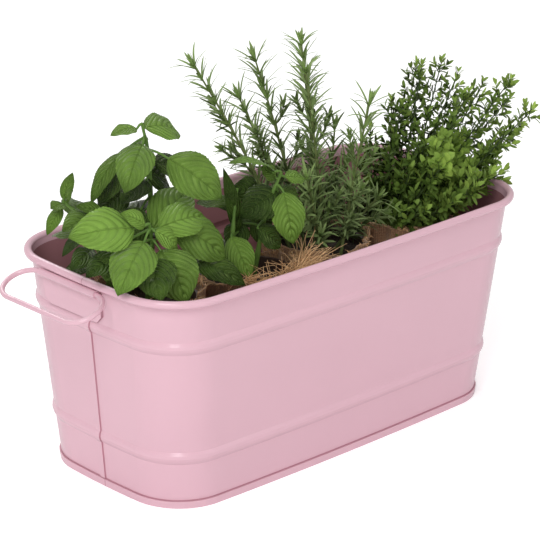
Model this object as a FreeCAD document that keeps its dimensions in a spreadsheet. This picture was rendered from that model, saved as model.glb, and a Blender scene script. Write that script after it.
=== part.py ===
import FreeCAD, Part
import math
import os
import Sketcher
from FreeCAD import Vector

# Indoor herb planter: an oval sheet steel tub with two wire handles, holding four wrapped herb pots.
# Frame: +Z up, origin on the standing plane under the middle of the tub, X along the tub's length,
# Y across it. Millimetres and degrees. Each herb pot lifts straight up out of the tub.

doc = FreeCAD.newDocument("herb_planter")
sheet = doc.addObject("Spreadsheet::Sheet", "sizes")

SIZES = [
    # tub wall
    ("tub_height", 160.0), ("top_half_length", 180.0), ("top_half_width", 87.0),
    ("foot_half_length", 164.0), ("foot_half_width", 75.0), ("corner_radius", 40.0),
    ("side_turn", 2.0), ("end_turn", 3.0), ("sheet_steel", 0.6),
    ("low_bead_z", 34.2), ("high_bead_drop", 41.6), ("bead_height", 9.5), ("bead_depth", 1.7),
    ("curl_radius", 2.8), ("curl_bite", 0.1), ("rim_wire_radius", 1.8), ("curl_run", 42.0),
    ("seam_width", 4.6), ("seam_depth", 0.9),
    # base plate with its double seam
    ("ring_height", 5.5), ("ring_out", 1.3), ("ring_in", 1.9), ("floor_height", 3.6),
    ("floor_sheet", 0.6), ("fold_gap", 0.1), ("ring_web", 1.0),
    # handles and their brackets
    ("wire_radius", 1.8), ("handle_depth", 30.6), ("handle_straight", 29.8), ("handle_offset", 13.7),
    ("handle_droop", 21.5), ("hinge_drop", 8.6), ("hinge_gap", 0.08), ("sleeve_half", 29.4),
    ("sleeve_wall", 0.8), ("plate_drop", 23.0), ("plate_chamfer", 5.0), ("weld_gap", 0.1),
    # pots, wraps and soil
    ("pot_height", 124.0), ("pot_foot_radius", 28.0), ("pot_top_radius", 35.0), ("pot_wall", 1.2),
    ("lip_height", 6.0), ("lip_out", 0.8), ("wrap_cloth", 1.5), ("wrap_gap", 0.5),
    ("wrap_height", 134.0), ("frill_radius", 39.5), ("tie_height", 100.0), ("twine_radius", 1.0),
    ("twine_gap", 0.1), ("seat_gap", 0.2), ("soil_gap", 0.3), ("soil_sink", 8.0),
    # places of the pots in the tub
    ("big_basil_x", -122.0), ("big_basil_y", 2.0), ("small_basil_x", -40.0), ("small_basil_y", -14.0),
    ("rosemary_x", 42.0), ("rosemary_y", 2.0), ("thyme_x", 124.0), ("thyme_y", -4.0),
    # plants
    ("root_gap", 0.2), ("leaf_thickness", 0.8), ("leaf_width", 36.0), ("petiole_radius", 0.8),
    ("basil_stem_radius", 1.6), ("basil_spread", 60.0), ("basil_rise", 132.0),
    ("rosemary_spread", 60.0), ("rosemary_rise", 160.0), ("rosemary_root_spread", 20.0),
    ("rosemary_needle", 17.0), ("rosemary_whorl", 10.0), ("rosemary_stem_radius", 1.3),
    ("thyme_spread", 80.0), ("thyme_rise", 120.0), ("thyme_root_spread", 22.0),
    ("thyme_leaf", 8.0), ("thyme_whorl", 7.0), ("thyme_stem_radius", 0.8),
    ("sprig_gap", 0.4), ("rim_room", 3.5), ("lane_gap", 1.5), ("lane_half", 41.0),
    # one overrun for every cutting tool
    ("overrun", 4.0),
]
for row, (alias, value) in enumerate(SIZES, start=1):
    sheet.set("A%d" % row, alias)
    sheet.set("B%d" % row, str(value))
    sheet.setAlias("B%d" % row, alias)
doc.recompute()
size = {alias: float(sheet.get(alias)) for alias, value in SIZES}

HERBS = ["big_basil", "small_basil", "rosemary", "thyme"]


# Oval outline of the tub
def half_sizes(z):
    """Half length and half width of the tub wall's outer face at height z: the wall is a straight taper."""
    share = z / size["tub_height"]
    length = size["foot_half_length"] + (size["top_half_length"] - size["foot_half_length"]) * share
    width = size["foot_half_width"] + (size["top_half_width"] - size["foot_half_width"]) * share
    return length, width


def bowed_radii(length, width):
    """Radii of the long sides and of the ends, so that all eight arcs of the outline meet tangent."""
    corner = size["corner_radius"]
    side, end = math.radians(size["side_turn"]), math.radians(size["end_turn"])
    a, b = math.sin(side), 1 - math.cos(end)
    c, d = 1 - math.cos(side), math.sin(end)
    p = length + corner * math.sin(side) - corner * math.cos(end)
    q = width - corner * math.cos(side) + corner * math.sin(end)
    spread = a * d - b * c
    return (p * d - b * q) / spread, (a * q - c * p) / spread


def arc_edge(centre, radius, start, turn):
    """Arc in a level plane from angle start through angle turn, in radians."""
    ends = [start, start + turn / 2, start + turn]
    points = [centre + Vector(radius * math.cos(t), radius * math.sin(t), 0) for t in ends]
    return Part.Arc(*points).toShape()


def outline(z, offset, level=None):
    """Closed wire of eight tangent arcs: the wall's outer face at height z, moved out by offset."""
    length, width = half_sizes(z)
    corner = size["corner_radius"]
    side_radius, end_radius = bowed_radii(length, width)
    side, end = math.radians(size["side_turn"]), math.radians(size["end_turn"])
    z = z if level is None else level
    x = length - end_radius + (end_radius - corner) * math.cos(end)
    y = (end_radius - corner) * math.sin(end)
    bend = math.pi / 2 - side - end
    edges = []
    for quarter, (sx, sy) in enumerate([(1, 1), (-1, 1), (-1, -1), (1, -1)]):
        start = quarter * math.pi / 2 + (end if quarter % 2 == 0 else side)
        edges.append(arc_edge(Vector(sx * x, sy * y, z), corner + offset, start, bend))
        if quarter % 2 == 0:
            centre, radius, turn = Vector(0, sy * (width - side_radius), z), side_radius, side
        else:
            centre, radius, turn = Vector(sx * (length - end_radius), 0, z), end_radius, end
        edges.append(arc_edge(centre, radius + offset, start + bend, 2 * turn))
    return Part.Wire(edges)


def tapered(z_low, z_high, offset):
    """Solid between two levels of the tub's outline, moved out by offset."""
    return Part.makeLoft([outline(z_low, offset), outline(z_high, offset)], True, True)


bead_shares = [0.0, 0.12, 0.28, 0.5, 0.72, 0.88, 1.0]


def bead_levels():
    """Heights and how far the wall stands out there: two beads, each a half wave in steps."""
    levels = []
    for foot in (size["low_bead_z"], size["tub_height"] - size["high_bead_drop"]):
        for share in bead_shares:
            out = size["bead_depth"] * math.sin(math.pi * share)
            levels.append((foot + share * size["bead_height"], out))
    return levels


def wall_skin(offset, low, high):
    """Solid inside the beaded wall surface, moved out by offset, between two heights."""
    levels = [(low, 0.0)] + bead_levels() + [(high, 0.0)]
    return Part.makeLoft([outline(z, offset + out) for z, out in levels], True, True)


def ring_along_rim(outer, inner=0.0):
    """Round bar, or tube with an inner radius, along the rim's curl, turned in short runs of each arc."""
    out = size["curl_radius"] - size["sheet_steel"] - size["curl_bite"]
    pieces = []
    for arc in outline(size["tub_height"] - size["curl_radius"], out).Edges:
        runs = math.ceil(arc.Length / size["curl_run"])
        turn = (arc.LastParameter - arc.FirstParameter) / runs
        for run in range(runs):
            begin = arc.FirstParameter + run * turn
            start = arc.valueAt(begin)
            tangent = arc.tangentAt(begin)
            section = Part.Face(Part.Wire(Part.makeCircle(outer, start, tangent)))
            if inner > 0:
                section = section.cut(Part.Face(Part.Wire(Part.makeCircle(inner, start, tangent))))
            pieces.append(section.revolve(arc.Curve.Center, arc.Curve.Axis, math.degrees(turn)))
    return pieces[0].fuse(pieces[1:])


def add_shape(label, shape):
    """Document object for a piece whose form follows from the sheet through Part's own functions."""
    piece = doc.addObject("Part::Feature", label)
    piece.Label = label
    piece.Shape = shape
    return piece


# Tub wall: one strip of sheet with two beads, lock-seamed at the left end, curled out at the top
foot_level = size["ring_web"] + size["fold_gap"]
curl_level = size["tub_height"] - size["curl_radius"]
skin = wall_skin(0.0, foot_level, curl_level)
hollow = wall_skin(-size["sheet_steel"], foot_level - size["overrun"], curl_level + size["overrun"])
sheet_wall = skin.cut(hollow)
curl = ring_along_rim(size["curl_radius"], size["curl_radius"] - size["sheet_steel"])
seam_low = size["ring_height"] + size["fold_gap"]
seam_high = size["tub_height"] - 2 * size["curl_radius"]
seam_skin = wall_skin(size["seam_depth"], seam_low, seam_high)
seam_skin = seam_skin.cut(wall_skin(-size["curl_bite"], seam_low - size["overrun"], seam_high + size["overrun"]))
seam_box = Part.makeBox(
    size["top_half_length"],
    size["seam_width"],
    size["tub_height"],
    Vector(-size["top_half_length"] - size["overrun"], -size["seam_width"] / 2, 0),
)
tub_wall = sheet_wall.fuse([curl, seam_skin.common(seam_box)])
add_shape("tub_wall", tub_wall)
add_shape("rim_wire", ring_along_rim(size["rim_wire_radius"]))

# Base plate: a floor inside a folded ring that grips the wall's foot
ring = tapered(0.0, size["ring_height"], size["ring_out"])
groove_in = tapered(0.0, size["ring_height"] + size["overrun"], -size["sheet_steel"] - size["fold_gap"])
groove_out = tapered(0.0, size["ring_height"] + size["overrun"], size["fold_gap"])
groove = groove_out.cut(groove_in)
groove_cutter = Part.makeBox(
    2 * size["top_half_length"] + 2 * size["overrun"],
    2 * size["top_half_width"] + 2 * size["overrun"],
    size["tub_height"],
    Vector(-size["top_half_length"] - size["overrun"], -size["top_half_width"] - size["overrun"], size["ring_web"]),
)
floor_top = size["floor_height"] + size["floor_sheet"]
above = tapered(floor_top, size["ring_height"] + size["overrun"], -size["ring_in"])
below = tapered(-size["overrun"], size["floor_height"], -size["ring_in"])
add_shape("base_plate", ring.cut([groove.common(groove_cutter), above, below]))


# Sketch and solid helpers for the turned and folded pieces
def origin_plane(body, role):
    return next(item for item in body.Origin.OriginFeatures if item.Role == role)


def number(body, expression):
    return float(body.evalExpression(expression))


def new_sketch(body, name, role):
    sketch = body.newObject("Sketcher::SketchObject", name)
    sketch.AttachmentSupport = [(origin_plane(body, role), "")]
    sketch.MapMode = "FlatFace"
    return sketch


def polygon_sketch(body, name, role, corners):
    """Closed outline whose corners are pairs of expressions; each coordinate is bound to the sheet."""
    sketch = new_sketch(body, name, role)
    places = [[0.0 if part == "0" else number(body, part) for part in corner] for corner in corners]
    count = len(corners)
    for i, (u, v) in enumerate(places):
        u_next, v_next = places[(i + 1) % count]
        sketch.addGeometry(Part.LineSegment(Vector(u, v, 0), Vector(u_next, v_next, 0)))
    for i in range(count):
        sketch.addConstraint(Sketcher.Constraint("Coincident", i, 2, (i + 1) % count, 1))
    for i, corner in enumerate(corners):
        for kind, axis, part, value in zip(("DistanceX", "DistanceY"), (-2, -1), corner, places[i]):
            if part == "0":
                sketch.addConstraint(Sketcher.Constraint("PointOnObject", i, 1, axis))
            else:
                which = sketch.addConstraint(Sketcher.Constraint(kind, -1, 1, i, 1, value))
                sketch.setExpression("Constraints[%d]" % which, part)
    return sketch


def circle_sketch(body, name, role, radius):
    """Circle about the body's origin, with its radius bound to the sheet."""
    sketch = new_sketch(body, name, role)
    sketch.addGeometry(Part.Circle(Vector(0, 0, 0), Vector(0, 0, 1), number(body, radius)))
    sketch.addConstraint(Sketcher.Constraint("Coincident", 0, 3, -1, 1))
    which = sketch.addConstraint(Sketcher.Constraint("Radius", 0, number(body, radius)))
    sketch.setExpression("Constraints[%d]" % which, radius)
    return sketch


def new_body(label):
    body = doc.addObject("PartDesign::Body", label)
    body.Label = label
    return body


def turned_body(label, corners):
    """Piece turned about its own Z axis from a profile of radius and height pairs."""
    body = new_body(label)
    profile = polygon_sketch(body, label + "_profile", "XZ_Plane", corners)
    doc.recompute()
    turn = body.newObject("PartDesign::Revolution", label + "_turn")
    turn.Profile = profile
    turn.ReferenceAxis = (profile, ["V_Axis"])
    turn.Angle = 360
    return body


# Handle brackets and wire handles, one of each at either end
wall_lean = math.degrees(math.atan2(
    size["top_half_length"] - size["foot_half_length"],
    size["tub_height"],
))
sleeve_radius = "(sizes.wire_radius + sizes.hinge_gap + sizes.sleeve_wall)"
plate_back = "(-" + sleeve_radius + ")"
plate_top = "(-sizes.wire_radius / 2)"
plate_low = "(-sizes.plate_drop)"
chamfer_low = "(sizes.plate_chamfer - sizes.plate_drop)"
chamfer_in = "(sizes.sleeve_half - sizes.plate_chamfer)"


def handle_bracket(label):
    """Welded plate whose top is rolled into a sleeve; the hinge axis is the body's own Y axis."""
    body = new_body(label)
    plate = polygon_sketch(body, label + "_plate", "YZ_Plane", [
        ("-sizes.sleeve_half", plate_top),
        ("sizes.sleeve_half", plate_top),
        ("sizes.sleeve_half", chamfer_low),
        (chamfer_in, plate_low),
        ("-" + chamfer_in, plate_low),
        ("-sizes.sleeve_half", chamfer_low),
    ])
    plate.setExpression("AttachmentOffset.Base.z", plate_back)
    doc.recompute()
    pad = body.newObject("PartDesign::Pad", label + "_plate_pad")
    pad.Profile = plate
    pad.setExpression("Length", "sizes.sleeve_wall")
    sleeve = circle_sketch(body, label + "_sleeve", "XZ_Plane", sleeve_radius)
    doc.recompute()
    roll = body.newObject("PartDesign::Pad", label + "_sleeve_pad")
    roll.Profile = sleeve
    roll.setExpression("Length", "2 * sizes.sleeve_half")
    roll.Midplane = True
    bore = circle_sketch(body, label + "_bore", "XZ_Plane", "sizes.wire_radius + sizes.hinge_gap")
    doc.recompute()
    solid_volume = roll.Shape.Volume
    hole = body.newObject("PartDesign::Pocket", label + "_bore_pocket")
    hole.Profile = bore
    hole.Type = 1
    hole.Midplane = True
    doc.recompute()
    if not hole.Shape.Volume < solid_volume:
        raise RuntimeError(label + " bore cuts nothing")
    return body


def wire_handle(label):
    """Closed wire loop: two straights along Y joined by two half rings, hinged on its inner straight."""
    end_radius = "(sizes.handle_depth / 2)"
    pieces = []
    for name, depth in (("inner", "0"), ("outer", "sizes.handle_depth")):
        straight = doc.addObject("Part::Cylinder", label + "_" + name)
        straight.setExpression("Radius", "sizes.wire_radius")
        straight.setExpression("Height", "2 * sizes.handle_straight")
        straight.Placement.Rotation = FreeCAD.Rotation(Vector(1, 0, 0), -90)
        straight.setExpression("Placement.Base.x", depth)
        straight.setExpression("Placement.Base.y", "-sizes.handle_straight")
        pieces.append(straight)
    for name, side, spin in (("far_end", "", 0), ("near_end", "-", 180)):
        bend = doc.addObject("Part::Torus", label + "_" + name)
        bend.setExpression("Radius1", end_radius)
        bend.setExpression("Radius2", "sizes.wire_radius")
        bend.Angle3 = 180
        bend.Placement.Rotation = FreeCAD.Rotation(Vector(0, 0, 1), spin)
        bend.setExpression("Placement.Base.x", end_radius)
        bend.setExpression("Placement.Base.y", side + "sizes.handle_straight")
        pieces.append(bend)
    loop = doc.addObject("Part::MultiFuse", label)
    loop.Label = label
    loop.Shapes = pieces
    loop.Refine = True
    return loop


hinge_level = size["tub_height"] - size["hinge_drop"]


def hinge_reach(stand_off):
    """Distance of the hinge axis from the tub's middle: outside the wall by plate, sleeve and stand-off."""
    length = half_sizes(hinge_level)[0]
    out = size["wire_radius"] + size["hinge_gap"] + size["sleeve_wall"] + stand_off
    return length + out / math.cos(math.radians(wall_lean))


stand_offs = {"left": size["seam_depth"] + size["weld_gap"], "right": size["weld_gap"]}
for side, toward in (("left", -1), ("right", 1)):
    reach = toward * hinge_reach(stand_offs[side])
    hinge_point = Vector(reach, size["handle_offset"], hinge_level)
    facing = FreeCAD.Rotation(Vector(0, 0, 1), 0 if toward > 0 else 180)
    tilt = FreeCAD.Rotation(Vector(0, 1, 0), wall_lean)
    droop = FreeCAD.Rotation(Vector(0, 1, 0), size["handle_droop"])
    bracket = handle_bracket("handle_bracket_" + side)
    bracket.Placement = FreeCAD.Placement(hinge_point, facing * tilt)
    handle = wire_handle("handle_" + side)
    handle.Placement = FreeCAD.Placement(hinge_point, facing * droop)
    print("hinge", side, [round(value, 3) for value in hinge_point])

# Wrapped herb pots: grow pot, soil, burlap wrap and two turns of twine
pot_lift = "(sizes.wrap_cloth + sizes.seat_gap)"
pot_end = "(" + pot_lift + " + sizes.pot_height)"
pot_slope = "((sizes.pot_top_radius - sizes.pot_foot_radius) / sizes.pot_height)"
neck_inner = "(sizes.pot_foot_radius + " + pot_slope + " * sizes.tie_height + sizes.wrap_gap)"
neck_outer = "(" + neck_inner + " + sizes.wrap_cloth)"
foot_inner = "(sizes.pot_foot_radius + sizes.wrap_gap)"
soil_low = "(" + pot_lift + " + sizes.pot_wall + sizes.soil_gap)"
soil_high = "(" + pot_end + " - sizes.soil_sink)"
soil_foot = "(sizes.pot_foot_radius - sizes.pot_wall - sizes.soil_gap)"
soil_top = "(" + soil_foot + " + " + pot_slope + " * (sizes.pot_height - sizes.soil_sink))"
seat = "(sizes.floor_height + sizes.floor_sheet + sizes.seat_gap)"


def place_pot(piece, herb, rise="0"):
    piece.setExpression("Placement.Base.x", "sizes." + herb + "_x")
    piece.setExpression("Placement.Base.y", "sizes." + herb + "_y")
    piece.setExpression("Placement.Base.z", seat + " + " + rise)


for herb in HERBS:
    pot = turned_body(herb + "_pot", [
        ("0", pot_lift),
        ("sizes.pot_foot_radius", pot_lift),
        ("sizes.pot_top_radius", pot_end + " - sizes.lip_height"),
        ("sizes.pot_top_radius + sizes.lip_out", pot_end + " - sizes.lip_height"),
        ("sizes.pot_top_radius + sizes.lip_out", pot_end),
        ("sizes.pot_top_radius - sizes.pot_wall", pot_end),
        ("sizes.pot_foot_radius - sizes.pot_wall", pot_lift + " + sizes.pot_wall"),
        ("0", pot_lift + " + sizes.pot_wall"),
    ])
    soil = turned_body(herb + "_soil", [
        ("0", soil_low),
        (soil_foot, soil_low),
        (soil_top, soil_high),
        ("0", soil_high),
    ])
    wrap = turned_body(herb + "_wrap", [
        ("0", "0"),
        (foot_inner + " + sizes.wrap_cloth", "0"),
        (neck_outer, "sizes.tie_height"),
        ("sizes.frill_radius", "sizes.wrap_height"),
        ("sizes.frill_radius - sizes.wrap_cloth", "sizes.wrap_height"),
        (neck_inner, "sizes.tie_height"),
        (foot_inner, "sizes.wrap_cloth"),
        ("0", "sizes.wrap_cloth"),
    ])
    for piece in (pot, soil, wrap):
        place_pot(piece, herb)
    turns = []
    for turn, side in enumerate(("-", "+")):
        twine = doc.addObject("Part::Torus", herb + "_twine_turn_%d" % turn)
        twine.setExpression("Radius1", neck_outer + " + sizes.twine_radius + sizes.twine_gap * 2")
        twine.setExpression("Radius2", "sizes.twine_radius")
        level = "sizes.tie_height - 3 * sizes.twine_radius " + side + " (sizes.twine_radius + sizes.twine_gap)"
        place_pot(twine, herb, level)
        turns.append(twine)
    tie = doc.addObject("Part::Compound", herb + "_twine")
    tie.Label = herb + "_twine"
    tie.Links = turns

# Plants: places are shares of each plant's spread and rise above the soil, from the pot's middle
doc.recompute()
seat_level = size["floor_height"] + size["floor_sheet"] + size["seat_gap"]
soil_level = seat_level + size["wrap_cloth"] + size["seat_gap"] + size["pot_height"] - size["soil_sink"]
root_level = soil_level + size["root_gap"]
wrap_top = seat_level + size["wrap_height"]


def pot_middle(herb):
    return Vector(size[herb + "_x"], size[herb + "_y"], root_level)


def placed(herb, spread, rise, shares):
    return pot_middle(herb) + Vector(shares[0] * spread, shares[1] * spread, shares[2] * rise)


# Each leaf: where its petiole leaves the stem, where its tip is, its width, and how far the blade is
# rolled about its length, as a share of a quarter turn
big_basil_stem_shares = [
    [(-0.05, -0.15, 0.0), (-0.15, -0.3, 0.25), (-0.4, -0.5, 0.56)],
    [(0.1, 0.1, 0.0), (0.12, 0.08, 0.7), (-0.04, 0.03, 1.0)],
    [(-0.3, 0.2, 0.0), (-0.62, 0.25, 0.45), (-0.86, 0.43, 0.62)],
]
big_basil_leaf_shares = [
    ((-0.44, -0.5, 0.55), (-0.75, -0.43, 0.65), 0.37, 0.61),
    ((-0.38, -0.53, 0.53), (-0.08, -0.63, 0.41), 0.42, -0.61),
    ((-0.31, -0.48, 0.52), (0.51, -0.43, 0.5), 0.72, -0.5),
    ((-0.48, -0.53, 0.5), (-1.18, -0.87, 0.32), 0.86, 0.17),
    ((-0.54, -0.48, 0.55), (-1.37, -0.27, 0.57), 0.88, 0.56),
    ((-0.32, -0.55, 0.44), (-0.31, -1.03, 0.2), 0.98, -0.33),
    ((-0.75, -0.4, 0.48), (-1.06, -0.53, 0.33), 0.67, 0.17),
    ((-0.37, -0.43, 0.4), (-0.75, -1.07, 0.26), 0.86, -0.06),
    ((0.02, -0.33, 0.5), (0.59, -0.7, 0.29), 0.86, -0.56),
    ((0.3, -0.4, 0.28), (0.64, -0.97, 0.17), 0.57, -0.39),
    ((-0.26, -0.33, 0.48), (0.58, -0.1, 0.6), 0.81, -0.33),
    ((-0.12, -0.07, 0.58), (-0.55, -0.17, 0.39), 0.76, 0.28),
    ((-0.71, 0.03, 0.57), (-1.29, -0.07, 0.57), 0.57, 0.33),
    ((-0.82, -0.04, 0.42), (-1.34, -0.27, 0.39), 0.42, 0.3),
    ((-0.83, 0.09, 0.49), (-1.29, -0.05, 0.43), 0.27, 0.11),
    ((-0.75, -0.37, 0.41), (-1.3, -0.47, 0.38), 0.5, 0.28),
    ((-0.61, 0.0, 0.56), (-1.01, 0.03, 0.66), 0.34, 0.56),
    ((0.32, -0.07, 0.52), (0.57, -0.27, 0.36), 0.54, -0.61),
    ((-0.09, 0.03, 0.98), (-0.45, 0.1, 0.97), 0.35, 0.22),
    ((-0.05, 0.03, 0.98), (0.51, 0.0, 0.9), 0.72, -0.33),
    ((-0.04, 0.0, 0.91), (-0.67, -0.4, 0.74), 0.72, 0.11),
    ((0.1, -0.17, 0.84), (0.54, -0.67, 0.62), 0.86, -0.61),
    ((-0.28, 0.07, 0.88), (-0.7, 0.17, 0.62), 0.38, 0.28),
    ((-0.21, 0.12, 0.79), (-0.54, 0.23, 0.6), 0.57, 0.33),
    ((0.14, 0.1, 0.78), (0.61, 0.0, 0.65), 0.62, -0.44),
    ((0.1, 0.1, 0.68), (-0.44, -0.07, 0.62), 0.54, 0.22),
    ((0.04, 0.17, 0.73), (0.53, 0.17, 0.57), 0.7, -0.5),
    ((-0.11, 0.2, 0.64), (-0.5, 0.23, 0.53), 0.64, 0.28),
    ((-0.88, 0.43, 0.62), (-0.67, 0.5, 0.75), 0.25, -0.22),
    ((-0.88, 0.43, 0.6), (-1.14, 0.4, 0.47), 0.27, 0.28),
    ((-0.83, 0.43, 0.61), (-0.86, 0.27, 0.7), 0.23, -0.94),
    ((-0.87, 0.42, 0.61), (-1.13, 0.33, 0.62), 0.29, 0.28),
]
small_basil_stem_shares = [
    [(0.05, 0.0, 0.0), (0.1, -0.15, 0.4), (0.22, -0.28, 0.64)],
    [(-0.2, 0.05, 0.0), (-0.33, -0.05, 0.3), (-0.2, 0.02, 0.56)],
]
small_basil_leaf_shares = [
    ((0.16, -0.27, 0.64), (-0.55, -0.22, 0.77), 0.49, 0.06),
    ((0.18, -0.25, 0.6), (0.0, -0.17, 0.68), 0.34, 0.61),
    ((0.25, -0.28, 0.61), (0.57, -0.33, 0.57), 0.35, -0.39),
    ((0.2, -0.33, 0.56), (0.15, -0.57, 0.28), 0.66, -0.28),
    ((0.28, -0.22, 0.54), (0.62, -0.22, 0.42), 0.42, -0.5),
    ((0.27, -0.22, 0.53), (-0.31, -0.17, 0.43), 0.74, 0.5),
    ((0.22, 0.03, 0.47), (-0.19, 0.1, 0.55), 0.62, 0.72),
    ((-0.18, 0.0, 0.29), (-0.31, 0.13, 0.67), 0.32, 0.78),
    ((-0.4, -0.08, 0.34), (-0.45, -0.48, 0.15), 0.55, -0.28),
    ((-0.13, -0.23, 0.37), (0.12, -0.4, 0.24), 0.53, -0.5),
    ((0.06, 0.07, 0.37), (0.33, 0.0, 0.23), 0.67, -0.78),
    ((0.01, 0.1, 0.34), (-0.32, 0.03, 0.24), 0.52, 0.28),
]
# Length stations of a leaf blade: place along it, half width, and lift off the straight chord
blade_shares = [(0.12, 0.08, 0.02), (0.4, 0.5, 0.09), (0.72, 0.38, 0.08), (1.0, 0.0, 0.0)]
fold_share = 0.12


def polyhedron(loops):
    """Closed solid from flat faces given as loops of corner points."""
    faces = [Part.Face(Part.makePolygon(loop + [loop[0]])) for loop in loops]
    solid = Part.makeSolid(Part.makeShell(faces))
    if solid.Volume < 0:
        solid.reverse()
    return solid


def blade_directions(root, tip, turn_share):
    """Directions across a blade and out of its upper face, rolled about its length."""
    along = (tip - root).normalize()
    level = along.cross(Vector(0, 0, 1)).normalize()
    upright = level.cross(along)
    roll = turn_share * math.pi / 2
    across = level * math.cos(roll) + upright * math.sin(roll)
    return across, upright * math.cos(roll) - level * math.sin(roll)


def leaf_blade(root, tip, width, turn_share):
    """Flat-faceted blade: lens-shaped, arched along its length and folded up along its midrib."""
    run = tip - root
    across, normal = blade_directions(root, tip, turn_share)
    down = normal * -size["leaf_thickness"]
    rows = []
    for place, half, lift in blade_shares:
        middle = root + run * place + normal * (lift * run.Length)
        edge = across * (half * width)
        raised = normal * (fold_share * half * width)
        rows.append([middle + edge + raised, middle, middle - edge + raised])
    loops = []
    for (l0, m0, r0), (l1, m1, r1) in zip(rows, rows[1:]):
        last = (l1 - m1).Length == 0
        for a0, b0, a1, b1 in ((l0, m0, l1, m1), (m0, r0, m1, r1)):
            outer = a1 if a0 is l0 else b1
            tops = [[a0, b0, m1]] if last else [[a0, b0, b1], [a0, b1, a1]]
            for top in tops:
                loops.append(top)
                loops.append([point + down for point in reversed(top)])
        for a0, a1 in ((l0, l1), (r0, r1)):
            loops.append([a0, a1, a1 + down, a0 + down])
    first = rows[0]
    for a0, b0 in ((first[0], first[1]), (first[1], first[2])):
        loops.append([a0, b0, b0 + down, a0 + down])
    return polyhedron(loops)


def blade_neck(root, tip, turn_share):
    """Middle of the blade's thickness, a little way in from its foot, where the petiole ends."""
    run = tip - root
    across, normal = blade_directions(root, tip, turn_share)
    place = (blade_shares[0][0] + blade_shares[1][0]) / 2
    lift = (blade_shares[0][2] + blade_shares[1][2]) / 2
    return root + run * place + normal * (lift * run.Length - size["leaf_thickness"] / 2)


def rod(start, end, radius):
    run = end - start
    return Part.makeCylinder(radius, run.Length, start, run)


def lifted_foot(foot, tip, radius):
    """Foot of a leaning stem, raised so that the low edge of its cut end keeps the gap to the soil."""
    run = tip - foot
    return foot + Vector(0, 0, radius * math.hypot(run.x, run.y) / run.Length)


def nearest_on_stems(stems, point):
    """Point on the stems' centre lines that lies nearest to a given point."""
    best = None
    for stem in stems:
        for start, end in zip(stem, stem[1:]):
            run = end - start
            share = max(0.0, min(1.0, (point - start).dot(run) / run.dot(run)))
            foot = start + run * share
            if best is None or (point - foot).Length < (point - best).Length:
                best = foot
    return best


def leafy_plant(herb, stem_shares, leaf_shares):
    """Stems, petioles and leaf blades of one basil plant, each stem grown together with its leaves."""
    spread, rise = size["basil_spread"], size["basil_rise"]
    stems = [[placed(herb, spread, rise, shares) for shares in stem] for stem in stem_shares]
    stems = [[lifted_foot(stem[0], stem[1], size["basil_stem_radius"])] + stem[1:] for stem in stems]
    shapes = []
    for stem in stems:
        for start, end in zip(stem, stem[1:]):
            shapes.append(rod(start, end, size["basil_stem_radius"]))
        for joint in stem[1:]:
            shapes.append(Part.makeSphere(size["basil_stem_radius"], joint))
    for root_shares, tip_shares, width_share, turn_share in leaf_shares:
        root = placed(herb, spread, rise, root_shares)
        tip = placed(herb, spread, rise, tip_shares)
        start = nearest_on_stems(stems, root)
        shapes.append(rod(start, blade_neck(root, tip, turn_share), size["petiole_radius"]))
        shapes.append(leaf_blade(root, tip, width_share * size["leaf_width"], turn_share))
    plant = shapes[0].fuse(shapes[1:])
    if len(plant.Solids) > len(stems):
        raise RuntimeError(herb + " plant has a loose leaf: %d solids" % len(plant.Solids))
    return plant


# Rosemary and thyme: a sprig is a stem with whorls of needles or leaves, drawn as stacked funnels
rosemary_tip_shares = [
    (-1.2, 0.97, 0.92), (-0.58, 0.83, 0.74), (-0.43, 0.7, 0.92), (-0.16, 0.17, 1.02),
    (-0.45, -0.2, 0.94), (0.3, -0.57, 0.77), (0.7, 0.4, 0.54), (-0.73, 0.77, 0.5),
    (-0.5, -0.3, 0.45), (0.5, -0.62, 0.3), (0.55, 0.0, 0.42),
]
thyme_tip_shares = [
    (0.35, 0.47, 0.7), (0.17, 0.17, 0.75), (0.6, 0.4, 0.92), (0.46, 0.2, 0.96), (0.57, 0.05, 1.0),
    (0.61, -0.12, 0.94), (1.0, 0.15, 0.68), (0.39, -0.45, 0.89), (0.71, -0.35, 0.9),
    (0.8, -0.6, 0.94), (0.98, -0.45, 0.78), (0.97, -0.74, 0.75), (0.92, -0.65, 0.62),
    (0.93, -0.5, 0.58), (0.72, -0.5, 0.44), (0.05, 0.45, 0.55), (-0.2, 0.3, 0.41),
    (-0.32, 0.1, 0.33), (-0.38, -0.4, 0.24), (-0.3, -0.6, 0.26), (-0.05, -0.72, 0.3),
    (0.2, -0.76, 0.36), (0.45, -0.72, 0.4), (0.06, -0.5, 0.5), (0.12, -0.2, 0.56),
    (0.45, -0.33, 0.6), (-0.08, -0.2, 0.42), (0.25, 0.45, 0.4),
]
spiral_turn = math.pi * (3 - math.sqrt(5))


def root_places(herb, count, spread):
    """Stem feet on the soil, spread evenly by a spiral of equal turns."""
    places = []
    for i in range(count):
        radius = spread * math.sqrt((i + 1 / 2) / count)
        turn = i * spiral_turn
        places.append(pot_middle(herb) + Vector(radius * math.cos(turn), radius * math.sin(turn), 0))
    return places


def lean(foot, tip):
    """Square of a stem's length seen from above."""
    return (tip.x - foot.x) ** 2 + (tip.y - foot.y) ** 2


def sprig_lines(herb, tip_shares, spread, rise, root_spread):
    """Straight stems: two tips change feet wherever that makes both lean less in all, so none cross."""
    feet = root_places(herb, len(tip_shares), root_spread)
    tips = [placed(herb, spread, rise, shares) for shares in tip_shares]
    changed = True
    while changed:
        changed = False
        for i in range(len(tips)):
            for j in range(i):
                now = lean(feet[i], tips[i]) + lean(feet[j], tips[j])
                other = lean(feet[j], tips[i]) + lean(feet[i], tips[j])
                if other < now:
                    feet[i], feet[j] = feet[j], feet[i]
                    changed = True
    radius = size[herb + "_stem_radius"]
    return [(lifted_foot(foot, tip, radius), tip) for foot, tip in zip(feet, tips)]


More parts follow.
